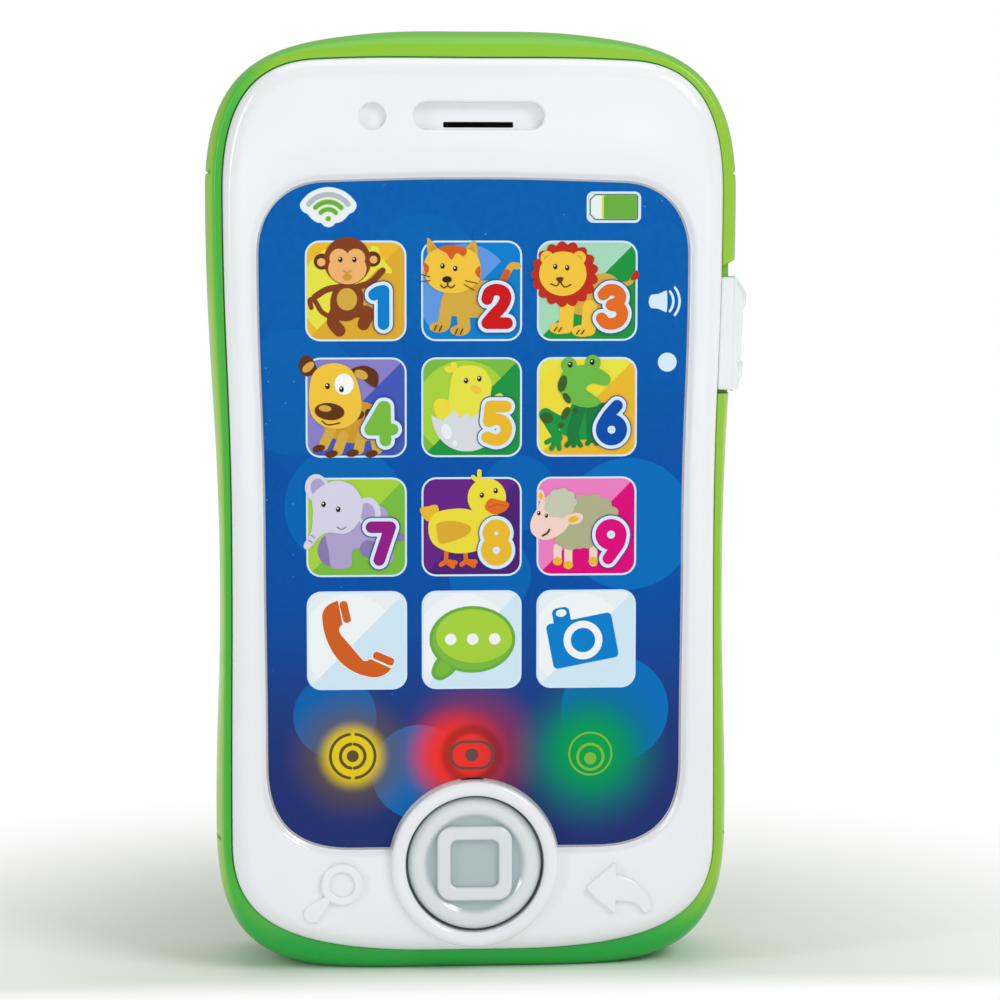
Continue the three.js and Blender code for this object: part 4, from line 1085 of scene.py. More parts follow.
KEY_HALF_X, KEY_HALF_Z, KEY_CORNER = 7.95, 7.88, 2.3
KEY_COLUMNS = (-18.65, -0.42, 17.85)
KEY_ROWS = (108.97, 90.65, 71.7, 53.65)
FACE = card(KEY_HALF_X - 0.3, KEY_HALF_Z - 0.3, KEY_CORNER - 0.3)
UPPER_LEFT = np.array([(9, 9), (-9, 9), (-9, -9)], float)


def key(name, column, row, base, facet, sheen=None):
    """A key: a pale edge, a base colour, a paler upper left half and a round sheen over that."""
    print_ = Print(name, KEY_COLUMNS[column], KEY_ROWS[row])
    print_.lay("edge", card(KEY_HALF_X, KEY_HALF_Z, KEY_CORNER))
    print_.lay(base, FACE)
    half = clipped(FACE, UPPER_LEFT)
    print_.lay(facet, half)
    if sheen:
        print_.lay(sheen, clipped(clipped(oval(-1.2, -0.2, 7.6), FACE), UPPER_LEFT))
    return print_


def monkey(p):
    p.lay("lemon", blob((2.4, 6.9), (3.6, 6.8), (4.0, 5.2), (5.6, 3.4), (5.3, 2.7), (3.4, 3.6), (2.6, 5.2)))
    p.lay("brown", stroke(0.75, (-3.0, -4.4), (-5.2, -3.4), (-6.4, -1.6), (-7.2, -1.4), (-7.0, -2.6)),
          stroke(1.0, (0.2, 0.6), (2.4, 1.4), (4.2, 3.2)),
          stroke(1.0, (-2.6, 0.6), (-4.6, 0.2), (-6.4, -0.9)),
          stroke(1.9, (-3.0, -2.8), (-3.6, -4.8), (-2.6, -6.2)),
          stroke(1.9, (-0.2, -3.2), (1.9, -3.4), (1.2, -5.2)))
    p.lay("deep_brown", oval(-5.3, 4.6, 1.25), oval(2.7, 5.0, 1.2))
    p.lay("brown", blob((-1.3, 1.4), (0.9, 0.2), (1.0, -2.6), (-0.8, -4.6), (-3.4, -4.2), (-4.0, -1.8),
                        (-3.2, 0.6)), oval(-1.3, 4.7, 3.7, 3.75))
    p.lay("peach", oval(-5.4, 4.5, 0.65), oval(2.8, 4.9, 0.6), oval(-1.3, 3.5, 3.0, 2.45),
          oval(-2.6, 5.1, 1.5, 1.5), oval(0.0, 5.1, 1.5, 1.5))
    p.lay("tan", oval(-1.4, -1.3, 1.6, 1.75))
    p.eyes((-2.4, 4.9), (-0.2, 4.9))
    p.lay("sand", stroke(0.22, (-1.9, 3.2), (-1.3, 2.85), (-0.7, 3.2)), oval(-1.3, 2.15, 0.65, 0.5))


def cat(p):
    p.lay("tan", stroke(1.1, (3.2, -0.6), (5.0, 1.8), (6.2, 3.8), (7.2, 3.9)),
          blob((-3.6, 0.4), (2.6, 1.6), (4.6, -0.8), (4.4, -3.4), (0, -4.2), (-4.6, -3.2)))
    p.lay("tan", stroke(2.0, (-3.9, -2.2), (-4.4, -5.3)), stroke(2.0, (-1.4, -2.8), (-1.2, -5.8)),
          stroke(1.8, (2.0, -2.8), (2.0, -5.0)), oval(-5.2, -5.7, 1.5, 0.85), oval(-1.9, -6.2, 1.5, 0.85))
    p.lay("rust", stroke(1.15, (5.0, 1.8), (5.5, 2.8)), stroke(1.15, (4.2, 0.6), (4.5, 1.0)))
    p.lay("tan", blob((-7.0, 8.3), (-5.6, 6.9), (-4.6, 5.2), (-6.6, 4.4), steps=3),
          blob((0.6, 7.8), (-0.9, 6.8), (-1.6, 5.0), (0.9, 4.4), steps=3))
    p.lay("sand", blob((-6.5, 7.4), (-5.5, 6.4), (-6.3, 5.2), steps=2),
          blob((0.3, 7.1), (-0.8, 6.3), (0.2, 5.2), steps=2))
    p.lay("amber", blob((-3.2, 6.9), (0.6, 5.9), (1.4, 2.2), (-0.6, 0.2), (-3.4, -0.4), (-6.2, 0.6),
                        (-7.6, 3.2), (-6.6, 6.0)))
    p.lay("rust", blob((-5.2, 6.7), (-3.2, 7.2), (-0.9, 6.6), (-1.2, 5.4), (-2.4, 5.9), (-3.2, 4.9),
                       (-4.0, 5.9)), blob((-7.5, 4.4), (-6.7, 3.6), (-7.3, 2.4), steps=4),
          blob((1.3, 3.9), (0.5, 3.0), (1.3, 2.0), steps=4))
    p.eyes((-4.6, 3.9), (-2.6, 3.5))
    p.lay("black", oval(-3.9, 1.8, 0.75, 0.5))
    p.lay("deep_brown", stroke(0.2, (-3.8, 1.6), (-3.8, 0.8)),
          stroke(0.2, (-4.9, 0.9), (-4.4, 0.5), (-3.8, 0.8)),
          stroke(0.2, (-2.7, 0.9), (-3.2, 0.5), (-3.8, 0.8)), stroke(0.13, (-1.0, 1.6), (0.8, 1.2)),
          stroke(0.13, (-1.2, 1.0), (0.4, 0.1)), stroke(0.13, (-6.6, 2.2), (-8.0, 2.6)),
          stroke(0.13, (-6.6, 1.6), (-8.0, 1.5)),
          *[stroke(0.2, (x, z), (x + 0.35, z + 0.8))
            for x, z in ((-5.9, -6.2), (-5.1, -6.3), (-2.6, -6.8), (-1.8, -6.8))])


def lion(p):
    p.lay("tan", stroke(0.7, (5.2, 1.0), (6.6, 1.2), (7.2, 2.0)),
          blob((0.2, 2.2), (3.6, 2.6), (5.6, 0.4), (5.4, -2.8), (1.8, -3.8), (-2.6, -3.4), (-3.4, -0.8)))
    p.lay("mane", blob((6.8, 1.8), (7.6, 3.2), (8.2, 2.6), (7.8, 1.8), steps=4))
    p.lay("amber", stroke(2.3, (-3.2, -2.4), (-3.4, -5.6)), stroke(2.3, (0.4, -2.6), (0.2, -6.0)),
          oval(-4.4, -5.9, 1.6, 0.9), oval(-0.8, -6.3, 1.7, 0.95), stroke(2.0, (4.0, -2.4), (4.2, -5.0)))
    p.lay("mane", scallops(-3.6, 2.6, 4.75, 4.6, 17, 0.13))
    p.lay("amber", oval(-6.4, 5.2, 1.05), oval(-1.3, 5.2, 1.05))
    p.lay("tan", oval(-6.3, 5.1, 0.55), oval(-1.4, 5.1, 0.55))
    p.lay("amber", oval(-3.9, 2.7, 3.75, 3.5))
    p.eyes((-5.1, 3.8), (-3.2, 3.6))
    p.lay("deep_brown", blob((-5.0, 2.0), (-3.8, 2.1), (-4.3, 1.2), steps=4),
          stroke(0.2, (-4.4, 1.4), (-4.9, 0.8), (-5.8, 1.1)),
          stroke(0.2, (-4.3, 1.4), (-3.6, 0.6), (-2.6, 1.0)),
          *[stroke(0.18, (x, z), (x + 0.4, z + 0.6))
            for x, z in ((-5.2, -6.3), (-4.5, -6.4), (-1.7, -6.8), (-0.9, -6.8))])


def dog(p):
    p.lay("sand", blob((-4.2, -0.2), (0.4, 1.0), (3.6, -0.4), (3.9, -4.0), (0.2, -5.6), (-4.0, -4.6),
                       (-5.2, -2.4)))
    p.lay("tan", stroke(1.6, (-4.0, -3.6), (-5.2, -6.0)), stroke(1.6, (-2.0, -4.4), (-2.9, -6.8)),
          stroke(1.6, (0.8, -4.4), (0.4, -6.6)), stroke(1.6, (2.8, -4.0), (3.3, -6.6)))
    p.lay("deep_brown", *[oval(x, z, 1.0, 0.55, 12)
                          for x, z in ((-5.9, -6.4), (-3.9, -7.3), (-0.6, -7.2), (2.4, -7.3))],
          oval(0.5, -1.2, 0.8, 0.6, 35), oval(1.9, -1.0, 0.55, 0.8),
          blob((-6.2, 5.6), (-6.8, 7.6), (-8.2, 8.2), (-9.0, 6.6), (-8.0, 5.0)),
          blob((-0.9, 5.9), (1.4, 6.6), (3.4, 5.4), (3.2, 3.2), (1.8, 3.8), (0.6, 5.0)))
    p.lay("tan", oval(-7.5, 6.4, 1.1, 0.6, 40), oval(0.8, 5.2, 1.1, 0.7, -25))
    p.lay("amber", blob((-4.0, 7.0), (-1.0, 6.2), (0.5, 3.0), (0.7, -0.8), (-1.4, -3.0), (-4.6, -3.1),
                        (-7.0, -1.2), (-7.4, 2.4), (-6.6, 5.6)))
    p.lay("white", oval(-1.9, 3.7, 1.5, 1.65))
    p.eyes((-4.5, 3.4), (-2.3, 2.9), size=0.38)
    p.lay("deep_brown", oval(-4.2, -0.6, 2.35, 1.35, -6),
          stroke(0.2, (-5.4, -2.1), (-4.4, -2.7), (-2.6, -2.4)))
    p.lay("tan", oval(-4.9, -0.1, 1.0, 0.5, -6))


def chick(p):
    p.lay("yellow", stroke(1.0, (-2.6, 5.8), (-2.9, 6.7)), oval(-3.6, 6.0, 0.75, 0.5, -20),
          blob((3.0, 1.2), (4.3, 2.2), (4.9, 1.9), (5.5, 1.2), (5.0, 0.6), (3.4, -0.2)),
          blob((-3.2, 0.6), (-5.0, 1.4), (-6.0, 0.6), (-5.4, -1.6), (-3.0, -2.6)))
    p.lay("lemon", blob((-1.2, 6.6), (1.6, 6.2), (3.1, 4.0), (3.0, 1.6), (3.6, -0.8), (1.2, -2.8),
                        (-2.6, -2.4), (-3.6, 0.4), (-3.4, 3.6), (-2.8, 5.6)))
    p.lay("shell", np.vstack([[(-6.4, -1.2), (-4.6, -2.1), (-2.8, -0.4), (-1.7, -1.7), (-0.9, -0.8),
                               (0.0, -1.7), (1.0, -0.8), (2.2, -1.6), (3.2, -0.4), (4.8, -1.3)],
                              bezier((4.8, -1.3), (4.6, -5.0), (2.0, -7.0), (-0.8, -7.0), 12),
                              bezier((-0.8, -7.0), (-3.8, -7.0), (-6.2, -4.6), (-6.4, -1.2), 12)[1:]])[::-1])
    p.lay("gloss", oval(-4.0, -3.8, 0.8, 1.25, 14), oval(-2.7, -5.7, 0.35, 0.5))
    p.eyes((-0.9, 4.2), (1.2, 4.5))
    p.lay("amber", blob((-0.1, 3.4), (1.3, 3.0), (1.1, 2.2), (0.2, 2.6), steps=4))


def frog(p):
    p.lay("leaf", stroke(2.1, (-1.8, -3.0), (-4.4, -2.4), (-6.6, -1.2)),
          stroke(1.6, (-6.6, -1.6), (-4.6, -4.8)),
          blob((-1.8, 1.2), (-3.2, -1.6), (-4.2, -4.0), (-1.0, -5.2), (1.6, -4.2), (1.2, 0.8)),
          *[stroke(0.8, (-4.6, -4.6), (x, z)) for x, z in ((-6.4, -5.6), (-5.6, -6.6), (-4.4, -6.6))])
    p.lay("forest", stroke(1.9, (-1.2, -0.4), (-2.2, -3.8), (-2.0, -5.2)),
          stroke(1.9, (0.8, -0.8), (0.9, -4.8)),
          blob((1.6, 0.2), (3.6, 0.6), (4.2, -1.2), (2.6, -3.4), (1.4, -2.4)),
          *[stroke(0.8, (-1.9, -4.8), (x, -6.1)) for x in (-3.2, -2.1, -1.0)],
          *[stroke(0.8, (0.9, -4.6), (x, -5.8)) for x in (0.1, 1.5)])
    p.lay("moss", oval(-6.4, -1.7, 1.05, 0.85, -20), oval(-3.4, -1.0, 0.55, 1.1, -28), oval(-1.9, -0.6, 0.42),
          oval(-4.1, -2.9, 0.45), oval(2.9, -0.3, 0.9, 0.6, -30))
    p.lay("frog", oval(-2.9, 6.6, 1.25), oval(0.9, 7.0, 1.25),
          blob((-3.8, 5.6), (-1.0, 6.6), (1.6, 6.2), (3.6, 4.8), (3.2, 3.4), (0.8, 3.7), (-0.2, 2.8),
               (1.0, 1.9), (2.2, 0.7), (0.4, -0.1), (-2.4, 0.5), (-4.4, 2.6)))
    p.lay("moss", oval(-3.9, 3.7, 0.7, 1.35, -14), oval(-3.2, 1.4, 0.5, 0.95, 32))
    p.eyes((-2.7, 6.7), (0.8, 7.1), size=0.38)


def elephant(p):
    p.lay("plum", stroke(0.35, (4.8, -1.0), (6.4, -1.4)), scallops(6.9, -1.6, 0.6, 0.6, 5, 0.3),
          blob((-5.2, -1.4), (-3.6, -1.8), (-3.8, -5.8), (-5.4, -5.6), (-6.2, -3.6)))
    p.lay("lilac", blob((-4.6, 0.4), (0.4, 3.2), (4.2, 3.2), (5.4, 0), (5.6, -5.4), (2.2, -5.8), (1.8, -3.6),
                        (-0.6, -3.6), (-1.0, -6.2), (-3.8, -6.4), (-4.4, -4.0)))
    p.lay("plum", clipped(oval(1.9, -3.4, 1.4, 1.4),
                          np.array([(0.2, -6), (3.4, -6), (3.4, -2), (0.2, -2)], float)))
    p.lay("lavender", oval(1.9, 2.4, 1.9, 2.4, 10), oval(-6.2, 6.2, 1.9, 2.3, 14))
    p.lay("lilac", oval(1.7, 2.3, 1.2, 1.6, 10), oval(-6.0, 6.2, 1.2, 1.6, 14))
    p.lay("lavender", blob((-3.6, 7.4), (-0.6, 6.6), (0.9, 4.0), (0.4, 1.0), (-1.6, -0.9), (-4.4, -0.8),
                           (-5.8, -1.4), (-7.6, -3.4), (-8.4, -2.8), (-7.2, -0.6), (-6.9, 2.4),
                           (-6.8, 5.4)))
    p.eyes((-5.2, 3.7), (-2.9, 2.9), size=0.36)
    p.lay("plum", stroke(0.17, (-3.1, 0.1), (-2.4, -0.3), (-1.7, 0.1)),
          stroke(0.14, (-7.6, -2.0), (-7.0, -2.3)),
          stroke(0.14, (-7.2, -1.2), (-6.6, -1.6)))


def duck(p):
    p.lay("gold", blob((-5.2, 2.4), (-5.6, 3.5), (-6.8, 3.3), (-8.2, 2.9), (-7.4, 1.2), (-5.6, 0.6)))
    p.lay("orange", stroke(0.7, (-4.0, -3.6), (-4.1, -5.6)), stroke(0.7, (-1.0, -3.8), (-0.9, -5.6)),
          *[stroke(0.75, (-4.1, -5.5), (x, z)) for x, z in ((-4.9, -6.0), (-3.0, -6.3), (-2.6, -5.7))],
          *[stroke(0.75, (-0.9, -5.5), (x, z)) for x, z in ((-1.6, -6.0), (0.3, -6.2), (0.6, -5.6))])
    p.lay("yellow", blob((-5.8, 2.2), (-2.4, 2.9), (0.2, 2.5), (0.8, 1.0), (2.8, 1.2), (3.4, -1.4),
                         (1.4, -3.6), (-2.6, -4.2), (-6.0, -2.8), (-6.9, 0.0)), oval(2.4, 4.6, 3.05, 3.1),
          stroke(0.7, (1.0, 7.2), (0.2, 7.9)), stroke(0.7, (1.2, 7.2), (1.2, 8.8)),
          blob((0.2, 2.2), (0.6, 4.0), (4.0, 2.8), (3.2, 0.0), (0.6, 0.2)))
    p.lay("ochre", blob((-5.4, 0.6), (-2.6, 0.9), (-0.2, 0.0), (-0.6, -1.2), (-2.8, -2.2), (-5.0, -2.6),
                        (-5.5, -1.0)))
    p.eyes((1.6, 5.0), (3.8, 5.7))
    p.lay("orange", blob((2.1, 3.0), (2.9, 4.4), (4.4, 4.2), (5.9, 3.7), (5.3, 2.5), (3.6, 2.0)))
    p.lay("rust", stroke(0.3, (2.7, 3.1), (3.9, 3.5), (5.4, 3.3)))


def sheep(p):
    p.lay("rose", *[stroke(1.3, (x, z), (x, z - 2.0)) for x, z in ((-4.6, -3.4), (-2.9, -3.8), (1.1, -3.8))])
    p.lay("gold", *[oval(x, z, 0.75, 0.65) for x, z in ((-4.6, -5.6), (-2.9, -6.2), (1.1, -5.6))])
    p.lay("wool", scallops(0.2, 0.8, 4.6, 3.9, 13, 0.12, 8), scallops(-2.2, -1.2, 3.0, 2.4, 9, 0.1))
    p.lay("rose", blob((-6.6, 4.6), (-4.2, 4.0), (-2.6, 1.4), (-3.6, -0.8), (-6.4, -2.2), (-8.6, -1.2),
                       (-8.9, 0.8), (-7.8, 3.0)), oval(-1.9, 1.2, 1.4, 0.9, 14),
          oval(-7.3, 4.9, 0.6, 1.0, 10))
    p.lay("gold", oval(-2.1, 1.1, 0.85, 0.5, 14), oval(-7.3, 4.8, 0.32, 0.6, 10))
    p.lay("fleece", scallops(-4.2, 3.7, 2.35, 2.1, 9, 0.14, 20))
    p.eyes((-7.6, 2.1), (-6.4, 1.7), size=0.27)
    p.lay("deep_brown", stroke(0.3, (-7.0, -1.5), (-6.3, -1.1), (-5.9, -0.5)))


def handset(p):
    outer = np.vstack([
        bezier((-3.0, 6.4), (-4.2, 6.1), (-5.5, 5.4), (-5.5, 3.8), 10),
        bezier((-5.5, 3.8), (-5.4, 0.6), (-3.6, -5.2), (2.6, -5.9), 16),
        bezier((2.6, -5.9), (3.8, -5.9), (4.8, -5.4), (5.4, -4.5), 6),
        [(5.4, -4.5), (2.2, -3.0)],
        bezier((2.0, -3.0), (1.6, -3.3), (1.1, -3.5), (0.7, -2.9), 5),
        bezier((0.7, -2.9), (-0.4, -1.6), (-1.4, -0.4), (-2.6, 1.0), 6),
        bezier((-2.6, 1.0), (-3.0, 1.7), (-2.9, 2.2), (-2.3, 2.6), 5),
        [(-2.3, 2.6)],
    ])
    ear = turned_loop(card(0.62, 1.75, 0.5), 13, -1.85, 4.6)
    mouth = turned_loop(card(1.75, 0.62, 0.5), -24, 4.2, -2.9)
    rims = [inset(loop, -0.16) for loop in (outer, ear, mouth)]
    p.lay("frost", *rims)
    p.lay("rust", outer, ear, mouth)


def bubble(p):
    p.lay("fill", oval(0.1, 0.05, 6.85, 5.35),
          blob((-5.2, -2.9), (-6.4, -4.9), (-5.9, -6.2), (-4.4, -6.3), (-2.6, -4.6)))
    p.lay("grass", blob((-4.9, -3.4), (-5.8, -4.9), (-5.5, -5.7), (-4.5, -5.7), (-3.3, -4.5)))
    p.lay("grass", oval(0.1, 0.05, 6.4, 4.9))
    p.lay("lime", clipped(oval(0.5, 0.7, 6.2, 4.4), oval(0.1, 0.05, 6.35, 4.85)))
    p.lay("frost", *[oval(x, 0.1, 0.92) for x in (-3.35, 0.15, 3.65)])


def camera_sign(p):
    body = card(5.3, 3.65, 0.7, -0.6, -0.3, 11)
    p.lay("blue", body, card(1.4, 1.75, 0.85, -3.9, 3.3, 11))
    p.lay("frost", oval(-4.0, 4.15, 0.85, 0.6, 9), Hoop(-0.5, -0.2, 2.53, 1.15))


def patches(width, *points, steps=7):
    """A wide pen line as rounded patches that overlap, one for each stretch between two points."""
    path = through(points, steps=steps) if len(points) > 2 else np.array(points, float)
    disc = oval(0, 0, width / 2, sides=28)
    found = []
    for start in range(0, len(path) - 1, steps):
        cloud = np.vstack([disc + point for point in path[start:start + steps + 1]])
        loop = cloud[convex_hull_2d([tuple(point) for point in cloud])]
        turning = np.dot(loop[:, 0], np.roll(loop[:, 1], -1)) - np.dot(loop[:, 1], np.roll(loop[:, 0], -1))
        found.append(loop if turning > 0 else loop[::-1])
    return found


def digit_shapes(digit, width, wide):
    """The pen strokes of one rounded figure."""
    strokes = {
        1: [((-1.2, 2.2), (-0.4, 2.7), (0.5, 2.9)), ((0.5, 2.9), (0.5, -3.1))],
        2: [((-1.7, 1.4), (-1.3, 2.6), (-0.1, 3.1), (1.2, 2.7), (1.6, 1.5), (0.9, 0.0), (-0.5, -1.5),
             (-1.7, -2.9)),
            ((-1.7, -2.95), (1.9, -2.95))],
        3: [((-1.6, 2.2), (-0.6, 3.0), (0.7, 2.9), (1.5, 2.0), (1.2, 0.9), (-0.1, 0.3)),
            ((-0.1, 0.3), (1.2, 0.0), (1.9, -1.2), (1.3, -2.6), (0.0, -3.1), (-1.2, -2.9), (-1.9, -2.1))],
        4: [((0.4, 3.0), (-2.0, -1.1)), ((-2.0, -1.1), (2.1, -1.1)), ((0.7, 3.0), (0.8, -3.1))],
        5: [((1.7, 3.0), (-1.1, 3.0)), ((-1.1, 3.0), (-1.4, 0.3)),
            ((-1.4, 0.3), (-0.1, 0.7), (1.2, 0.3), (1.8, -1.0), (1.3, -2.5), (0.0, -3.1), (-1.7, -2.6))],
        6: [((1.0, 3.1), (-0.5, 1.4), (-1.6, -0.4), (-1.8, -1.4))],
        7: [((-1.8, 2.9), (1.6, 2.9)), ((1.6, 2.9), (-0.4, -3.1))],
        8: [],
        9: [((1.8, 1.3), (1.5, -0.2), (0.6, -1.6), (-0.5, -3.1))],
    }
    loops = {6: [(0.0, -1.3, 1.8)], 8: [(0.0, 1.7, 1.45), (0.0, -1.45, 1.75)], 9: [(0.0, 1.3, 1.8)]}
    scale = 0.87
    shapes = []
    for line in strokes[digit]:
        points = [(x * scale, z * scale) for x, z in line]
        shapes += patches(width, *points) if wide else [stroke(width, *points)]
    shapes += [Hoop(x * scale, z * scale, r * scale, width) for x, z, r in loops.get(digit, [])]
    return shapes


def figure(p, digit, colour):
    centre = np.array([3.9, -2.5])
    for name, width in (("navy", 3.25), ("edge", 2.95), (colour, 1.85)):
        shapes = digit_shapes(digit, width, wide=name != colour)
        for shape in shapes:
            if isinstance(shape, Hoop):
                shape.outer = shape.outer + centre
                shape.inner = shape.inner + centre
        p.lay(name, *[shape if isinstance(shape, Hoop) else shape + centre for shape in shapes])


KEYS = [
    ("monkey", monkey, "ochre", "gold", "lemon", "blue"),
    ("cat", cat, "blue", "blue", "sky", "red"),
    ("lion", lion, "leaf", "mint", None, "orange"),
    ("dog", dog, "indigo", "violet", None, "grass"),
    ("chick", chick, "leaf", "grass", "lime", "gold"),
    ("frog", frog, "gold", "lemon", "yellow", "royal"),
    ("elephant", elephant, "grass", "lime", None, "violet_red"),
    ("duck", duck, "wine", "purple", None, "gold"),
    ("sheep", sheep, "magenta", "pink", None, "magenta"),
]


def screen_keys():
    for i, (name, draw, base, facet, sheen, colour) in enumerate(KEYS):
        picture = key("key_" + name, i % 3, i // 3, base, facet, sheen)
        draw(picture)
        figure(picture, i + 1, colour)
        picture.finish()
    for column, (name, draw) in enumerate((("handset", handset), ("bubble", bubble),
                                           ("camera", camera_sign))):
        picture = key("key_" + name, column, 3, "ice", "pale", "frost")
        draw(picture)
        picture.finish()


def arc_points(x, z, radius, start, end, steps=9):
    angles = np.radians(np.linspace(start, end, steps))
    return [(x + radius * math.cos(a), z + radius * math.sin(a)) for a in angles]


def signal_sign():
    """A signal badge: two green arcs and a dot under a grey arc, on a pale wavy-edged card."""
    p = Print("sign_signal", -22.9, 122.0)
    card_loop = blob((0, 3.05), (2.6, 2.3), (4.25, 0.6), (3.9, -0.5), (3.2, -0.9), (2.5, -1.7), (1.7, -2.2),
                     (1.1, -2.3), (0.6, -2.75), (0, -2.95), (-0.6, -2.75), (-1.1, -2.3), (-1.7, -2.2),
                     (-2.5, -1.7), (-3.2, -0.9), (-3.9, -0.5), (-4.25, 0.6), (-2.6, 2.3))
    p.lay("edge", inset(card_loop[::-1], -0.14))
    p.lay("pale", card_loop)
    p.lay("grey", stroke(0.8, *arc_points(0, -1.9, 3.9, 38, 142)))
    p.lay("lime", stroke(0.85, *arc_points(0, -1.9, 2.75, 43, 137)),
          stroke(0.8, *arc_points(0, -1.9, 1.6, 43, 137)), oval(0, -1.75, 0.45))
    p.lay("fill", stroke(0.6, *arc_points(0, -1.9, 2.75, 43, 137)),
          stroke(0.56, *arc_points(0, -1.9, 1.6, 43, 137)), oval(0, -1.75, 0.3))
    p.finish()


def battery_sign():
    p = Print("sign_battery", 22.0, 122.1)
    p.lay("edge", card(4.3, 2.45, 1.0))
    p.lay("olive", card(3.85, 2.05, 0.55))
    p.lay("pale", card(3.65, 1.85, 0.45))
    p.lay("chartreuse", card(2.75, 1.82, 0.12, 0.85, 0))
    p.lay("fill", card(2.6, 1.82, 0.3, 1.02, 0))
    corner = np.array([(-3.95, 2.15), (-3.95, 1.1), (-2.9, 2.15)], float)
    p.lay("edge", corner, (corner * [1, -1])[::-1])
    p.lay("olive", stroke(0.16, (-3.75, 1.15), (-2.95, 1.95)), stroke(0.16, (-3.75, -1.15), (-2.95, -1.95)))
    p.finish()


def sound_sign():
    p = Print("sign_sound", 30.3, 107.3)
    cone = blob((-2.4, 0.95), (-1.7, 1.1), (-1.1, 1.2), (-0.2, 1.6), (0.15, 1.6), (0.25, 0), (0.15, -1.6),
                (-0.2, -1.6), (-1.1, -1.2), (-1.7, -1.1), (-2.4, -0.95), (-2.7, 0))
    p.lay("edge", cone, stroke(0.4, *arc_points(-1.3, 0, 2.5, -38, 38)),
          stroke(0.4, *arc_points(-1.3, 0, 3.5, -38, 38)))
    p.finish()
    dot = Print("sign_sound_low", 30.6, 97.7)
    dot.lay("edge", oval(0, 0, 1.5))
    dot.finish()


def light_marks():
    yellow_x, red_x, green_x = LIGHTS_X
    p = Print("mark_yellow", yellow_x, LIGHT_Z)
    arcs = [(3.55, 0.45), (1.95, 0.5)]
    p.lay("olive_brown", *[stroke(width, *arc_points(0, 0, radius, start, start + 164, 15))
                           for radius, width in arcs for start in (98, 278)], oval(0, 0, 0.95))
    p.finish()
    p = Print("mark_red", red_x, LIGHT_Z)
    p.lay("soot", oval(0, 0, 1.05))
    ring = rounded_rect(3.35, 2.15, 2.1, steps=10)
    hoop = Hoop(0, 0, 1, 0.1)
    hoop.outer, hoop.inner = inset(ring, -0.2), inset(ring, 0.22)
    p.lay("soot", hoop)
    p.finish()
    p = Print("mark_green", green_x, LIGHT_Z)
    p.lay("lit_green", Hoop(0, 0, 3.4, 0.3), Hoop(0, -0.5, 2.05, 0.45), oval(0, -0.75, 0.98))
    p.finish()


def screen_art():
    screen_keys()
    signal_sign()
    battery_sign()
    sound_sign()
    light_marks()


# Inner pieces ------------------------------------------------------------------------------------

def cells():
    """Three plain cells, each with its nub away from its spring."""
    for i in (1, 2, 3):
        low, high = node_span(f"cell_{i}")
        spring_low, _ = node_span(f"contact_spring_{i}")
        middle = (low + high) / 2
        nub_up = spring_low.z < middle.z
        radius, length = (high.x - low.x) / 2, high.z - low.z
        profile = [(0, 0), (3.4, 0), (3.5, 0.08), (3.5, 0.3), (radius - 0.5, 0.3), (radius - 0.12, 0.42),
                   (radius, 0.8), (radius, 29.5), (radius, 40), (radius, length - 1.8),
                   (radius - 0.12, length - 1.42), (radius - 0.5, length - 1.3), (2.6, length - 1.3),
                   (2.3, length - 1.1), (1.9, length - 1.0), (1.9, length - 0.25), (1.75, length - 0.07),
                   (1.5, length), (0, length)]
        points, faces = turned(profile, 0, 0, 64)
        x, y, z = points.T
        along = y if nub_up else length - y
        stood = np.column_stack([x + middle.x, z + middle.y, along + low.z])
        slots = []
        for face in faces:
            height = y[face].mean()
            wide = np.hypot(x[face], z[face]).min() > radius - 1
            slots.append((1 if 29.6 < height < length - 1.4 else 0) if wide else 2)
        materials = [MATERIALS["cell_sleeve"], gold_band(), MATERIALS["nickel"]]
        piece = make(f"cell_{i}_smooth", (stood, faces), materials, slots)
        smooth(piece, 34)
        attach(piece, "phone_body")
        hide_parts(f"cell_{i}")


def contact_springs():
    """Conical springs that press on the flat end of each cell."""
    turns, wide, narrow, wire = 3.25, 3.6, 2.2, 0.35
    for i in (1, 2, 3):
        low, high = node_span(f"contact_spring_{i}")
        cell_low, cell_high = node_span(f"cell_{i}")
        below = low.z < cell_low.z
        x, y = (cell_low.x + cell_high.x) / 2, (cell_low.y + cell_high.y) / 2
        foot, tip = (low.z + wire, high.z - wire) if below else (high.z - wire, low.z + wire)
        count, sides = 130, 12
        points = []
        for k in range(count):
            share = k / (count - 1)
            turn = share * turns * 2 * math.pi
            radius = wide - wire + (narrow - wide) * share
            z = foot + (tip - foot) * share
            for s in range(sides):
                around = s / sides * 2 * math.pi
                reach = radius + wire * math.cos(around)
                points.append((x + reach * math.cos(turn), y + reach * math.sin(turn),
                               z + wire * math.sin(around)))
        faces = [[k * sides + s, k * sides + (s + 1) % sides, (k + 1) * sides + (s + 1) % sides,
                  (k + 1) * sides + s]
                 for k in range(count - 1) for s in range(sides)]
        faces += [list(range(sides)), list(range((count - 1) * sides, count * sides))]
        piece = make(f"contact_spring_{i}_smooth", (np.array(points), faces))
        settle(piece, "phone_body", MATERIALS["nickel"], "nickel", f"contact_spring_{i}")


def button_dome():
    """The silicone dome behind the round button; it flattens onto the board as the button goes in."""
    low, high = node_span("button_dome")
    base, top = high.y, low.y
    profile = [(0, top), (1.7, top), (2.2, top + 0.06), (2.5, top + 0.2), (3.1, base - 0.78),
               (3.4, base - 0.6), (4.3, base - 0.5), (4.5, base - 0.42), (4.5, base), (0, base)]
    piece = make("button_dome_smooth", turned(profile, HOME_X, HOME_Z, 48))
    settle(piece, "phone_body", MATERIALS["silicone"], "silicone", "button_dome", angle=50)
    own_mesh(piece)


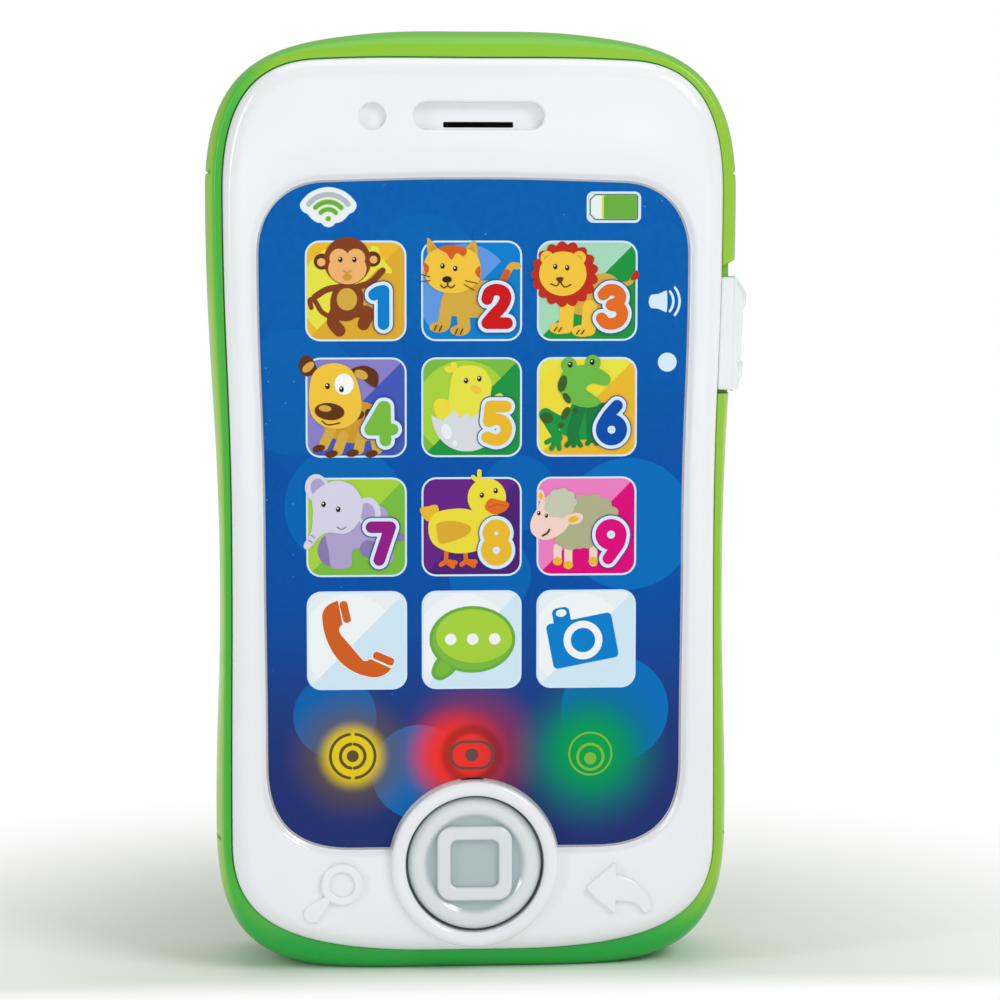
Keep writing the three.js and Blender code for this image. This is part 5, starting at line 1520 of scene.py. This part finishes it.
def finish_cad_pieces():
    """Gives every CAD piece that still shows the material of its slot in the record."""
    slots = {part["node"]: part["material_slot"] for part in frame["record"]["subparts"]}
    for name, node in frame["nodes"].items():
        if node.hide_render:
            continue
        material = MATERIALS[slots[name]]
        node.data.materials.clear()
        node.data.materials.append(material)


# Stage, light and camera -------------------------------------------------------------------------

CAMERA = (-27.37, -447.45, 114.22)
TARGET = (0, 0, 75)


def aim(thing, target):
    direction = Vector(target) * MM - thing.location
    thing.rotation_euler = direction.to_track_quat("-Z", "Y").to_euler()


def add_camera():
    data = bpy.data.cameras.new("camera")
    data.lens = 99.83
    data.sensor_width = 36
    data.shift_x = 0.0298
    data.clip_start = 0.01
    camera = bpy.data.objects.new("camera", data)
    bpy.context.scene.collection.objects.link(camera)
    camera.location = Vector(CAMERA) * MM
    aim(camera, TARGET)
    bpy.context.scene.camera = camera


def area_light(name, place, target, size, power):
    data = bpy.data.lights.new(name, "AREA")
    data.shape = "RECTANGLE"
    data.size, data.size_y = (side * MM for side in size)
    data.energy = power
    light = bpy.data.objects.new(name, data)
    bpy.context.scene.collection.objects.link(light)
    light.location = Vector(place) * MM
    aim(light, target)


def add_lights():
    area_light("key", (420, -380, 520), (0, 0, 80), (260, 260), 2.0)
    area_light("left_strip", (-520, -260, 300), (0, 0, 80), (60, 420), 0.75)
    area_light("front_fill", (40, -900, 120), (0, 0, 60), (800, 500), 0.95)
    area_light("top", (0, 60, 620), (0, 0, 60), (500, 420), 0.7)
    world = bpy.data.worlds.new("studio")
    bpy.context.scene.world = world
    world.use_nodes = True
    sky = world.node_tree.nodes["Background"]
    sky.inputs["Color"].default_value = (1, 1, 1, 1)
    sky.inputs["Strength"].default_value = 0.42
    backdrop = world.node_tree.nodes.new("ShaderNodeBackground")
    seen = world.node_tree.nodes.new("ShaderNodeLightPath")
    blend = world.node_tree.nodes.new("ShaderNodeMixShader")
    links = world.node_tree.links
    links.new(seen.outputs["Is Camera Ray"], blend.inputs[0])
    links.new(sky.outputs[0], blend.inputs[1])
    links.new(backdrop.outputs[0], blend.inputs[2])
    links.new(blend.outputs[0], world.node_tree.nodes["World Output"].inputs["Surface"])
    backdrop.inputs["Color"].default_value = (1, 1, 1, 1)


def add_floor():
    """A pale floor that brightens to white away from the phone."""
    size = 4000
    corners = np.array([(-size, 0), (size, 0), (size, size), (-size, size)], float)
    points = np.column_stack([corners[:, 0], corners[:, 1] * 2 - size, np.zeros(4)])
    floor = make("floor", (points, [[0, 1, 2, 3]]), tidy=False)
    surface = Surface("floor", (240, 243, 236), 0.5, Specular_IOR_Level=0.1)
    tree = surface.tree
    glow = tree.nodes.new("ShaderNodeEmission")
    glow.inputs["Strength"].default_value = 1.0
    blend = tree.nodes.new("ShaderNodeMixShader")
    output = tree.nodes["Material Output"]
    across, back, _ = surface.axes()
    far = surface.math("SQRT", surface.math("ADD", surface.math("POWER", across, 2.0),
                                            surface.math("POWER", back, 2.0)))
    ahead = surface.ramp(back, -0.012, -0.028)
    surface.put(surface.math("MAXIMUM", surface.ramp(far, 0.04, 0.15), ahead), blend.inputs[0])
    surface.put(surface.shader.outputs[0], blend.inputs[1])
    surface.put(glow.outputs[0], blend.inputs[2])
    surface.put(blend.outputs[0], output.inputs["Surface"])
    floor.data.materials.append(surface.material)


def show_as_photographed():
    view = bpy.context.scene.view_settings
    view.view_transform = "Standard"
    view.look = "None"


# Assembly ----------------------------------------------------------------------------------------

add_camera()
front_cover()
rear_cover()
battery_door()
screen_film()
screen_art()
home_button()
switch_knob()
button_dome()
cells()
contact_springs()
finish_cad_pieces()
add_lights()
add_floor()
show_as_photographed()
